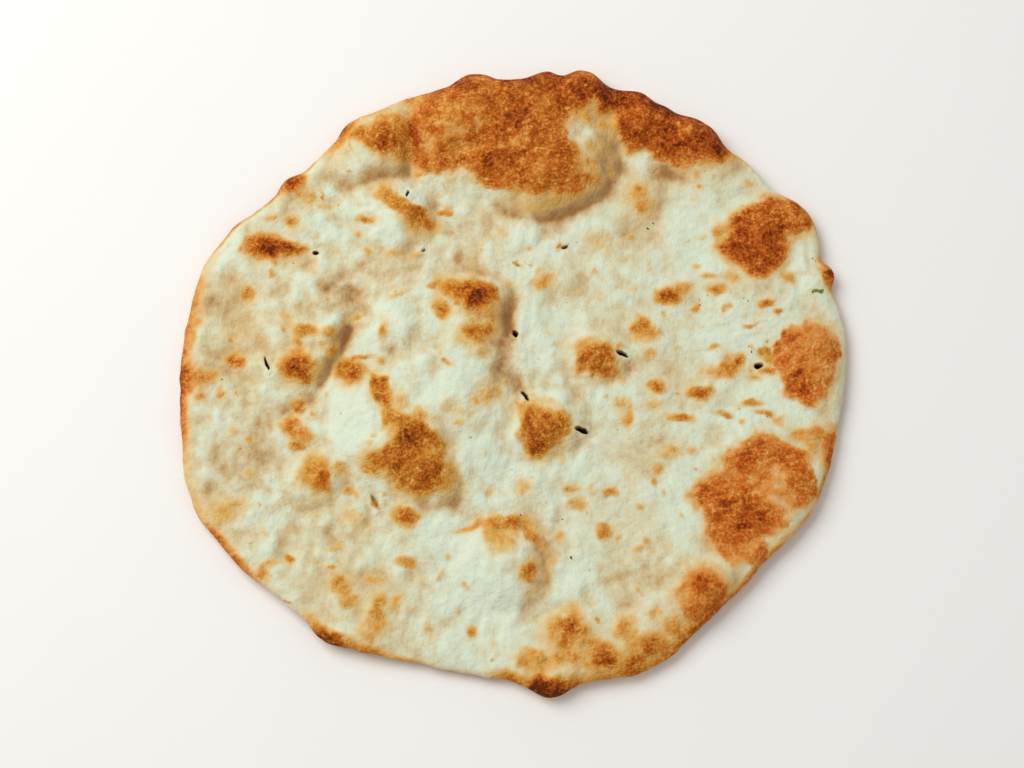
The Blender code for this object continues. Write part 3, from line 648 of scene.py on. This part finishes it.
        (46, 5, 1.6, 0.3, 0.4), (320, 11, 2.4, 0.56, 0.5), (340, 11, 1.8, 0.4, 0.4), (20, 4, 3.0, 0.6, 0.6),
    ],
    # broad warm tan ovals, partly dough that toasted without browning and partly painted shade on blister
    # flanks and feet away from the key light: middle, half length, half width, turn, amount
    "toastedAndShaded": [
        (-62, -66, 34, 20, -35, 0.2), (-90, 4, 22, 48, 0, 0.22), (-68, 30, 14, 26, -12, 0.22),
        (-92, 22, 12, 16, 0, 0.2), (36, -92, 30, 14, 10, 0.3), (50, -68, 16, 12, 20, 0.24),
        (10, 60, 20, 5, 5, 0.25), (1, 10, 5, 18, 15, 0.2), (-14, -12, 7, 5, 0, 0.4),
        (25, 70, 30, 12, 10, 0.15), (62, 79, 16, 4.5, -18, 0.5), (11, -66, 3.5, 12, 0, 0.3),
        (50, 10, 20, 30, 0, 0.1), (34, 92, 6, 16, 5, 0.5), (32, 77, 6, 9, -35, 0.5), (12, 68, 19, 5, 6, 0.5),
        (28, 100, 8, 10, 0, 0.3), (20, 37, 14, 10, 0, 0.36), (48, -30, 8, 12, 0, 0.25),
        (-46, 82, 10, 5, 0, 0.16), (-58, 90, 8, 6, 0, 0.3), (-15, 49, 10, 6, 10, 0.25),
        (112, 28, 6, 14, 0, 0.3), (90, 33, 14, 6, 0, 0.15), (-104, -36, 12, 14, 0, 0.2),
        (-1, 19, 4, 14, -12, 0.3), (48, 50, 14, 12, 0, 0.12), (-106, 30, 8, 14, 0, 0.2),
    ],
    # painted highlight, whiter dough on places that face the key light: middle, half length, half width,
    # turn, amount
    "paintedHighlights": [
        (-53, -16, 13, 15, -40, 0.42), (-61, -10, 7, 9, 0, 0.3), (-22, -2, 9, 14, -60, 0.5),
        (-38, 10, 6, 9, 0, 0.35), (-20, -65, 10, 12, 0, 0.6), (-6, -80, 14, 6, 0, 0.45),
        (61, -50, 6, 14, -20, 0.6), (57, -37, 6, 12, 0, 0.5), (4, 57, 9, 7, 20, 0.5),
        (27, 60, 12, 6, 20, 0.4), (-14, 72, 16, 4, 8, 0.4), (19, 26, 8, 8, 30, 0.3),
        (75, 50, 12, 10, 0, 0.25), (18, -74, 10, 6, 30, 0.4), (-106, -20, 8, 8, 0, 0.2),
        (-108, 47, 6, 6, 30, 0.4), (44, 87, 8, 4, -10, 0.5), (104, 42, 2.6, 12, 0, 0.5),
        (33, -86, 4, 7, 0, 0.6), (-52, 12, 5, 10, -20, 0.4), (80, 18, 14, 6, 0, 0.2),
        (-3, -97, 10, 6, 0, 0.35), (-5, -31, 9, 7, 0, 0.45), (30, -30, 12, 8, 0, 0.25),
        (44, 35, 10, 8, 0, 0.2), (82, -12, 12, 3, 0, 0.3),
    ],
    # underside: its cast, and scattered scorch spots
    "under": {
        "level": 0.16,
        "waves": [(17, 17, 0.14, 12, 61), (7, 7, 0.1, 40, 62)],
        "rim": (5.0, 0.25),   # how far in it is browner, and by how much
        "redness": 0.3,
        "tanAndShade": 0.55,
    },
    "underSpots": {
        "count": 260, "seed": 77, "reach": 114.0, "least": 1.2, "most": 6.5, "sizeBias": 2.5,
        "strength": (0.4, 1.0), "hottest": 0.85,
    },
}


def insideBy(x, y, points):
    # distance to an outline, above 0 inside it
    away = np.full_like(x, 1e9)
    inside = np.zeros(x.shape, bool)
    for (x0, y0), (x1, y1) in zip(points, points[1:] + points[:1]):
        away = np.minimum(away, linePlace(x, y, x0, y0, x1, y1)[1])
        if y0 != y1:
            inside ^= ((y0 > y) != (y1 > y)) & (x < (x1 - x0) * (y - y0) / (y1 - y0) + x0)
    return np.where(inside, away, -away)


def spotShare(x, y, oval):
    # 1 in the middle of an oval, a third on its outline
    return np.exp(-(np.hypot(*ovalPlace(x, y, oval)) ** browning["spotSharpness"]))


def topBrowning(x, y, angle, inset):
    # how brown the upper face is, from 0 to 1, and how red that brown is
    warpedX = x + waves(x, y, browning["edgeWarpsX"])
    warpedY = y + waves(x, y, browning["edgeWarpsY"])
    blur = browning["blurMiddle"] + noise(x, y, browning["blur"])
    glow = browning["glowMiddle"] + noise(x, y, browning["glow"])
    heartDepth, heartShare = browning["heart"]
    level = np.zeros_like(x)
    red = np.full_like(x, browning["redStart"])

    def bake(share, heat, redness):
        nonlocal level, red
        here = share * heat
        redder = red + (redness - red) * np.clip(share * browning["redGrip"], 0.0, 1.0)
        red = np.where(here > level, redder, red)
        level = np.maximum(level, here) + browning["overlap"] * np.minimum(level, here)

    for heat, redness, soft, points in browning["patches"].values():
        depth = insideBy(warpedX, warpedY, points)
        share = smoothStep(0.5 + depth / (browning["edgeDepth"] * soft * blur))
        share = share * (1.0 - heartShare + heartShare * smoothStep(depth / heartDepth))
        fringe = glow * bell(np.minimum(depth, 0.0), browning["glowReach"] * soft)
        bake(np.maximum(share, fringe), heat, redness)
    for spot in browning["spots"]:
        bake(spotShare(warpedX, warpedY, spot), browning["spotHeat"] * spot[5], spot[6])
    for heading, halfWidth, reach, heat, redness in browning["rims"]:
        bake(bell(turnAway(angle, heading), halfWidth) * bell(inset, reach), heat, redness)
    facts = browning["mottles"]
    for mottle in scatter(facts):
        bake(spotShare(warpedX, warpedY, mottle), facts["hottest"] * mottle[5], facts["redness"])
    for pale in browning["paler"]:
        level -= pale[5] * spotShare(warpedX, warpedY, pale)
    cloudStart, cloudSpan = browning["cloudFrom"]
    level += smoothStep((level - cloudStart) / cloudSpan) * waves(x, y, browning["clouds"])
    return np.clip(level, 0.0, 1.0), red


def underBrowning(x, y, inset):
    facts, spots = browning["under"], browning["underSpots"]
    level = facts["level"] + waves(x, y, facts["waves"])
    for spot in scatter(spots):
        level = np.maximum(level, spots["hottest"] * spot[5] * spotShare(x, y, spot))
    rimReach, rimHeat = facts["rim"]
    return np.clip(level + rimHeat * bell(inset, rimReach), 0.0, 1.0)


def reliefMaps():
    # on a grid: how far each place lies below its surroundings, and how steeply it falls away from the key
    # light, for the painted shade
    facts = browning["relief"]
    reach, step = facts["reach"], facts["step"]
    places = np.arange(-reach, reach + step, step)
    height = topHeight(*np.meshgrid(places, places, indexing="ij"))

    def around(values, distance):
        turns = [2.0 * pi * k / facts["turns"] for k in range(facts["turns"])]
        steps = [(round(distance * cos(a) / step), round(distance * sin(a) / step)) for a in turns]
        return sum(np.roll(values, shift, axis=(0, 1)) for shift in steps) / len(steps)

    smooth = height
    for distance in facts["even"]:
        smooth = around(smooth, distance)
    slopeX, slopeY = np.gradient(smooth, step)
    hollow = 0.0
    for values, (distance, weight) in zip((height, smooth), browning["hollowRings"]):
        hollow = hollow + weight * (around(values, distance) - values)
    shadeX, shadeY, least = browning["shadeFalls"]
    return places, hollow, np.clip(slopeY * shadeY - slopeX * shadeX - least, 0.0, 1.0)


def sampled(places, values, x, y):
    # a value between grid places
    u = (x - places[0]) / (places[1] - places[0])
    v = (y - places[0]) / (places[1] - places[0])
    i, j = np.floor(u).astype(int), np.floor(v).astype(int)
    u, v = u - i, v - j
    low = values[i, j] * (1.0 - u) + values[i + 1, j] * u
    high = values[i, j + 1] * (1.0 - u) + values[i + 1, j + 1] * u
    return low * (1.0 - v) + high * v


def tanAndShadeOf(x, y):
    # unbrowned dough: 0 is white, 1 is tan; tan tone, with painted shade in hollows and on blister sides away
    # from the key light, and painted highlight on sides facing it
    facts = browning["tanAndShade"]
    places, hollow, awayFromLight = reliefMaps()
    tanAndShade = facts["middle"] + waves(x, y, facts["waves"])
    # painted shade: tan in hollows and on slopes away from the key light
    tanAndShade += facts["hollow"] * sampled(places, hollow, x, y) + facts["awayFromLight"] * sampled(places, awayFromLight, x, y)
    # tan ovals: toasted dough, and painted shade on blister flanks and feet
    for oval in browning["toastedAndShaded"]:
        tanAndShade += oval[5] * spotShare(x, y, oval)
    # painted highlight: whiter dough where the blisters face the key light
    for oval in browning["paintedHighlights"]:
        tanAndShade -= oval[5] * spotShare(x, y, oval)
    return np.clip(tanAndShade, 0.0, facts["most"])


def addAttribute(name, values):
    layer = breadData.attributes.new(name, "FLOAT", "POINT")
    layer.data.foreach_set("value", np.asarray(values, dtype=np.float32))


print("naan: browning")
seenY = planY + (planZ - bread["crumb"]) * tan(radians(viewTilt))   # the tables were read off a flat plan
topLevel, topRed = topBrowning(planX, seenY, planAngle, planInset)
underLevel = underBrowning(planX, planY, planInset)
prickAway, prickDeep = prickDistance(planX, planY)
tornEdge, tornWidth, tornDepth = browning["torn"]
# painted shade: near black inside the deeper pricks
torn = smoothStep((tornEdge - prickAway) / tornWidth) * np.clip(prickDeep / tornDepth, 0.0, 1.0)
addAttribute("browning", np.where(onTop, topLevel, underLevel))
addAttribute("redness", np.where(onTop, topRed, browning["under"]["redness"]))
# painted shade and tan tone on the upper face, a plain tan on the underside
addAttribute("tanAndShade", np.where(onTop, tanAndShadeOf(planX, planY), browning["under"]["tanAndShade"]))
addAttribute("torn", np.where(onTop, torn, 0.0))


# materials
class Signal:
    # one number or colour of a shader, which Python's own operators work on
    def __init__(self, paint, socket):
        self.paint = paint
        self.socket = socket

    def math(self, operation, first, second, third=0.0):
        return self.paint.node("ShaderNodeMath", {"operation": operation}, {0: first, 1: second, 2: third})

    def __add__(self, other):
        return self.math("ADD", self, other)

    def __radd__(self, other):
        return self.math("ADD", other, self)

    def __sub__(self, other):
        return self.math("SUBTRACT", self, other)

    def __rsub__(self, other):
        return self.math("SUBTRACT", other, self)

    def __mul__(self, other):
        return self.math("MULTIPLY", self, other)

    def __rmul__(self, other):
        return self.math("MULTIPLY", other, self)


class Paint:
    # a material's node tree
    def __init__(self, name):
        self.material = bpy.data.materials.new(name)
        self.material.use_nodes = True
        self.tree = self.material.node_tree
        self.tree.nodes.clear()

    def node(self, kind, settings=None, inputs=None, output=0):
        made = self.tree.nodes.new(kind)
        for key, value in (settings or {}).items():
            if key == "stops":
                self.setStops(made.color_ramp, value)
            else:
                setattr(made, key, value)
        for key, value in (inputs or {}).items():
            if isinstance(value, Signal):
                self.tree.links.new(value.socket, made.inputs[key])
            else:
                made.inputs[key].default_value = value
        return Signal(self, made.outputs[output])

    def setStops(self, ramp, stops):
        while len(ramp.elements) > 1:
            ramp.elements.remove(ramp.elements[-1])
        for number, (place, colour) in enumerate(stops):
            element = ramp.elements[0] if number == 0 else ramp.elements.new(place)
            element.position = place
            element.color = linear(colour)

    def attribute(self, name):
        return self.node("ShaderNodeAttribute", {"attribute_name": name}, output="Fac")

    def place(self):
        return self.node("ShaderNodeTexCoord", output="Object")

    def grain(self, size, detail=2.0, roughness=0.5, stretch=1.0):
        # noise whose lumps are about this many millimetres across, and longer along Y where stretched
        scale = (1.0, 1.0 / stretch, 1.0)
        place = self.node("ShaderNodeMapping", inputs={"Vector": self.place(), "Scale": scale})
        inputs = {"Vector": place, "Scale": 1.0 / (size * mm), "Detail": detail, "Roughness": roughness}
        return self.node("ShaderNodeTexNoise", inputs=inputs)

    def rise(self, signal, low, high):
        inputs = {"Value": signal, "From Min": low, "From Max": high}
        return self.node("ShaderNodeMapRange", {"interpolation_type": "SMOOTHSTEP"}, inputs)

    def mix(self, share, first, second):
        return self.node("ShaderNodeMix", {"data_type": "RGBA"}, {0: share, 6: first, 7: second}, output=2)

    def ramp(self, stops, place):
        return self.node("ShaderNodeValToRGB", {"stops": stops}, {"Fac": place})

    def bump(self, height, strength, depth):
        inputs = {"Strength": strength, "Distance": depth * mm, "Height": height}
        return self.node("ShaderNodeBump", inputs=inputs)

    def finish(self, inputs):
        surface = self.node("ShaderNodeBsdfPrincipled", inputs=inputs)
        output = self.tree.nodes.new("ShaderNodeOutputMaterial")
        self.tree.links.new(surface.socket, output.inputs["Surface"])
        return self.material


def linear(colour):
    # a screen colour of 0 to 255 as the renderer's own light values
    shares = [c / 255.0 for c in colour]
    return tuple(s / 12.92 if s <= 0.04045 else ((s + 0.055) / 1.055) ** 2.4 for s in shares) + (1.0,)


doughLook = {
    # screen colours: the unbrowned dough from white to tan, whose darker tans also paint shade, then two
    # browns from faint to dark
    "paleStops": [
        (0.0, (224, 235, 214)), (0.16, (222, 228, 202)), (0.36, (220, 211, 174)), (0.62, (208, 180, 132)),
        (0.85, (188, 145, 92)), (1.0, (164, 114, 64)),
    ],
    "wheatStops": [
        (0.0, (226, 221, 184)), (0.10, (229, 211, 160)), (0.22, (229, 193, 122)), (0.36, (221, 168, 84)),
        (0.50, (208, 138, 50)), (0.64, (190, 110, 28)), (0.78, (166, 86, 16)), (0.9, (140, 66, 10)),
        (1.0, (98, 44, 6)),
    ],
    "emberStops": [
        (0.0, (227, 219, 184)), (0.10, (230, 206, 158)), (0.22, (231, 184, 122)), (0.36, (225, 154, 82)),
        (0.50, (212, 124, 46)), (0.64, (194, 96, 26)), (0.78, (170, 74, 16)), (0.9, (144, 56, 8)),
        (1.0, (98, 36, 4)),
    ],
    # near black painted shade inside the pricks
    "shadeInPrick": (30, 18, 8),
    "roughPale": 0.82,
    "roughBrown": 0.66,
    "specular": 0.1,
    "bump": (0.85, 0.8),      # strength, depth
    "subsurface": (0.12, 0.0025, (1.0, 0.55, 0.25)),   # weight, depth in metres, share of red, green and blue
    # noises: size, detail, roughness, stretch
    "grains": {
        "fine": (0.95, 1.0), "wrinkle": (1.1, 1.0, 0.5, 3.5), "fleck": (1.25, 1.0), "flake": (2.4, 2.0),
        "speckle": (1.9, 2.0, 0.55), "mottle": (4.0, 3.0, 0.55), "broad": (11.0, 2.0),
    },
    "began": (0.06, 0.5),     # browning where the crust starts, and where it is all crust
    "crusted": (0.2, 0.65),   # the same for its own grain
    "covered": 0.34,          # browning at which no pale dough shows through
    "flakes": (0.54, 0.7),    # noise from which pale skin is left on the crust, and where it is whole
    "flecks": (0.56, 0.68),
    # how much each noise shifts a value
    "crustGrain": {"speckle": 0.8, "fine": 0.5},
    "edgeGrain": {"speckle": 0.12, "mottle": 0.25},
    "redGrain": {"broad": 0.5},
    "paleGrain": {"mottle": 0.5, "speckle": 0.35, "fine": 0.15, "wrinkle": 0.25},
    "roughGrain": {"speckle": 0.2},
    "grainLimit": 0.12,       # keeps dark flecks few
    "flakeTone": 0.1,
    "fleckTone": 0.13,
    "mottleTone": 0.6,
    "crustTone": 0.06,
    "paleReach": 0.8,
    "relief": {"speckle": 0.45, "crust": 1.2, "mottle": 1.2, "flake": 0.3, "wrinkle": 0.15},
}


def doughMaterial():
    look = doughLook
    paint = Paint("baked_dough")
    level, red, tanAndShade, torn = (paint.attribute(name) for name in ("browning", "redness", "tanAndShade", "torn"))
    grains = {name: paint.grain(*facts) for name, facts in look["grains"].items()}

    def shifted(value, weights):
        # a value moved up and down by noises round their middle
        for name, weight in weights.items():
            value = value + (grains[name] - 0.5) * weight
        return value

    # the grain only shows where the crust has browned
    began = paint.rise(level, *look["began"])
    flake = paint.rise(grains["flake"], *look["flakes"])
    fleck = paint.rise(grains["fleck"], *look["flecks"])
    grain = shifted(0.0, look["crustGrain"])
    grain = grain.math("SMOOTH_MIN", grain, look["grainLimit"], look["grainLimit"])
    grain = grain - flake * look["flakeTone"] - fleck * look["fleckTone"]
    uneven = level + began * (grains["mottle"] - 0.5) * look["mottleTone"]
    uneven = uneven + paint.rise(level, *look["crusted"]) * grain + began * look["crustTone"]
    redder = paint.rise(shifted(red, look["redGrain"]), 0.0, 1.0)
    brown = paint.mix(redder, paint.ramp(look["wheatStops"], uneven), paint.ramp(look["emberStops"], uneven))

    # the unbrowned dough's colour, whose tan end also paints shade and whose white end paints highlight
    pale = paint.ramp(look["paleStops"], shifted(tanAndShade, look["paleGrain"]) * look["paleReach"])
    cover = paint.rise(level + began * shifted(0.0, look["edgeGrain"]), 0.0, look["covered"])
    colour = paint.mix(cover, pale, brown)
    # painted shade inside the pricks
    colour = paint.mix(torn, colour, linear(look["shadeInPrick"]))

    relief = look["relief"]
    bumpy = grains["speckle"] * (relief["speckle"] + began * relief["crust"])
    bumpy = bumpy + grains["mottle"] * relief["mottle"] + flake * began * relief["flake"]
    bumpy = bumpy + grains["wrinkle"] * relief["wrinkle"]
    rough = look["roughPale"] + began * (look["roughBrown"] - look["roughPale"])
    weight, scale, radius = look["subsurface"]
    return paint.finish({
        "Base Color": colour, "Roughness": shifted(rough, look["roughGrain"]),
        "Normal": paint.bump(bumpy, *look["bump"]), "Specular IOR Level": look["specular"],
        "Subsurface Weight": weight, "Subsurface Radius": radius, "Subsurface Scale": scale,
    })


print("naan: dough material")
naan.data.materials.append(doughMaterial())

# a fleck of herb on the right side
herb = {
    "at": (111.5, 34.5),
    "length": 4.4,
    "width": 1.2,
    "turn": 14.0,
    "thickness": 0.22,
    "curl": 0.35,
    "steps": 18,
    "tip": 0.08,       # how blunt its ends are
    "fullness": 0.6,
    "waver": 0.25,     # its sides go in and out by this share
    "sway": 0.5,
    "droop": 0.6,      # its sides hang down
    "streakSize": 0.5,
    "bump": (0.4, 0.1),
    "rough": (0.6, 0.2),   # least, and how much more by the streaks
    "colours": [(0.3, (74, 104, 26)), (0.55, (112, 142, 44)), (0.75, (162, 172, 78))],
}


def herbMaterial():
    paint = Paint("dried_herb")
    streaks = paint.grain(herb["streakSize"])
    least, more = herb["rough"]
    return paint.finish({
        "Base Color": paint.ramp(herb["colours"], streaks), "Roughness": least + streaks * more,
        "Normal": paint.bump(streaks, *herb["bump"]),
    })


def surfaceAt(x, y):
    place = np.array([float(x)]), np.array([float(y)])
    inset = edgeRadius(np.arctan2(place[1], place[0])) - np.hypot(*place)
    midHeight = edgeLift(np.arctan2(place[1], place[0])) + bread["rimMidline"]
    return float((midHeight + (topHeight(*place) - midHeight) * rounded(inset, bread["rimRoundTop"]))[0])


def buildHerb():
    # a torn strip of leaf, both faces, its middle arched off the crust
    mesh = bmesh.new()
    turned = radians(herb["turn"])
    rows = []
    for k in range(herb["steps"] + 1):
        share = k / herb["steps"]
        along = (share - 0.5) * herb["length"]
        taper = sin(pi * (herb["tip"] + (1.0 - 2.0 * herb["tip"]) * share)) ** herb["fullness"]
        half = 0.5 * herb["width"] * taper * (1.0 + herb["waver"] * sin(9.0 * share + 1.0))
        bend = herb["sway"] * sin(2.0 * pi * share)
        row = []
        for across, face in ((-half, 1), (0.0, 1), (half, 1), (half, 0), (0.0, 0), (-half, 0)):
            x = herb["at"][0] + along * cos(turned) - (across + bend) * sin(turned)
            y = herb["at"][1] + along * sin(turned) + (across + bend) * cos(turned)
            arch = sin(pi * share) - herb["droop"] * (across / herb["width"]) ** 2
            up = herb["curl"] * arch + face * herb["thickness"]
            row.append(mesh.verts.new(toFrame(np.array([x, y, surfaceAt(x, y) + up]))))
        rows.append(row)
    for near, far in zip(rows, rows[1:]):
        for k in range(len(near)):
            after = (k + 1) % len(near)
            mesh.faces.new((near[k], near[after], far[after], far[k]))
    mesh.faces.new(rows[0][::-1])
    mesh.faces.new(rows[-1])
    bmesh.ops.recalc_face_normals(mesh, faces=mesh.faces)
    return meshData("herb_fleck", mesh)


print("herb fleck")
fleck = addObject("herb_fleck", buildHerb())
fleck.data.materials.append(herbMaterial())
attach(fleck, "root")

# specks of char from the oven wall
specks = {
    "seed": 5,
    "scale": 0.72,          # of all the half widths below
    "length": (1.0, 2.0),   # least and most, in widths
    "dent": (0.75, 1.1),
    "squash": 0.5,
    "subdivisions": 2,
    "ashSize": 0.4,
    "rough": (0.7, 0.2),    # least, and how much more by the ash
    "colours": [(0.3, (60, 42, 22)), (0.6, (96, 68, 34)), (0.8, (130, 96, 48))],
    # each: place as seen in the plan, half width
    "at": [
        (50, 59.5, 0.5), (52, 61.5, 0.35), (68.5, 32, 0.34), (68.6, 30, 0.42), (71.5, 33.5, 0.28),
        (86, 31, 0.34), (84.5, 32, 0.24), (38, 77, 0.3), (110, 47, 0.3), (111, 46, 0.24), (21, 53.5, 0.25),
        (24, 54, 0.22), (-64, 68, 0.3), (-80, 45.5, 0.26), (-24, 62, 0.26), (20, 31, 0.22), (3, -48.5, 0.32),
        (18, -50, 0.34), (21, -64, 0.5), (82, -9.5, 0.32), (92, -12.5, 0.24), (87, 12, 0.4), (86, 14, 0.3),
        (38, -17, 0.24), (0, -32, 0.22), (-105, 1.5, 0.4), (-52, -37, 0.26), (-88, -28, 0.2), (60, -70, 0.24),
        (43, 5, 0.22),
    ],
}


def speckMaterial():
    paint = Paint("char")
    ash = paint.grain(specks["ashSize"])
    least, more = specks["rough"]
    return paint.finish({"Base Color": paint.ramp(specks["colours"], ash), "Roughness": least + ash * more})


def buildSpecks():
    # squashed, dented grains, half sunk into the skin
    rng = np.random.default_rng(specks["seed"])
    mesh = bmesh.new()
    for x, y, size in specks["at"]:
        made = bmesh.ops.create_icosphere(mesh, subdivisions=specks["subdivisions"], radius=1.0)
        size = specks["scale"] * size
        length = size * rng.uniform(*specks["length"])
        turned = rng.uniform(0.0, pi)
        skin = surfaceAt(x, y)
        for vert in made["verts"]:
            dent = rng.uniform(*specks["dent"])
            along, across = vert.co.x * length * dent, vert.co.y * size * dent
            offX = along * cos(turned) - across * sin(turned)
            offY = along * sin(turned) + across * cos(turned)
            up = skin + vert.co.z * size * specks["squash"]
            vert.co = toFrame(np.array([x + offX, y + offY, up]))
    return meshData("char_specks", mesh)


print("specks of char")
grit = addObject("char_specks", buildSpecks())
grit.data.materials.append(speckMaterial())
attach(grit, "root")

# floor, light and camera
studio = {
    # lengths in metres, apart from the lens and the sensor
    "floorSize": 4.0,
    "floorDrop": 0.0002,
    "floorColour": (252, 252, 252),
    "floorShade": 0.985,
    "floorRough": 0.85,
    "keyFrom": (-0.62, 0.42, 1.0),
    "keySize": 0.9,
    "keyPower": 10.3,
    "keyColour": (1.0, 0.995, 0.96),
    "fillColour": (1.0, 0.97, 0.93, 1.0),
    "fillStrength": 0.47,
    "distance": 0.9,
    "lens": 87.4,
    "sensor": 36.0,
    "aimHeight": 0.005,
}


def floorMaterial():
    paint = Paint("pale_floor")
    cloud = paint.grain(60.0)
    base = linear(studio["floorColour"])
    colour = paint.mix(cloud, base, tuple(studio["floorShade"] * c for c in base[:3]) + (1.0,))
    return paint.finish({"Base Color": colour, "Roughness": studio["floorRough"]})


def addFloor():
    half = studio["floorSize"] / 2
    data = bpy.data.meshes.new("floor")
    corners = [(-half, -half, 0), (half, -half, 0), (half, half, 0), (-half, half, 0)]
    data.from_pydata(corners, [], [(0, 1, 2, 3)])
    floor = addObject("floor", data)
    floor.location.z = cadBox[0].z - studio["floorDrop"]
    data.materials.append(floorMaterial())


def addKey():
    light = bpy.data.lights.new("key", "AREA")
    light.energy = studio["keyPower"]
    light.size = studio["keySize"]
    light.color = studio["keyColour"]
    key = addObject("key", light)
    key.location = studio["keyFrom"]
    key.rotation_euler = (-key.location).to_track_quat("-Z", "Y").to_euler()


def addWorld():
    world = bpy.data.worlds.new("studio")
    world.use_nodes = True
    background = world.node_tree.nodes["Background"]
    background.inputs["Color"].default_value = studio["fillColour"]
    background.inputs["Strength"].default_value = studio["fillStrength"]
    bpy.context.scene.world = world


def addCamera():
    camera = bpy.data.cameras.new("camera")
    camera.lens = studio["lens"]
    camera.sensor_width = studio["sensor"]
    seat = addObject("camera", camera)
    aim = planOrigin + Vector((0, 0, studio["aimHeight"]))
    tilt = radians(viewTilt)
    seat.location = aim + Vector((0, -sin(tilt), cos(tilt))) * studio["distance"]
    seat.rotation_euler = (tilt, 0, 0)
    bpy.context.scene.camera = seat


print("floor, light and camera")
addFloor()
addKey()
addWorld()
addCamera()
bpy.context.scene.view_settings.view_transform = "Standard"
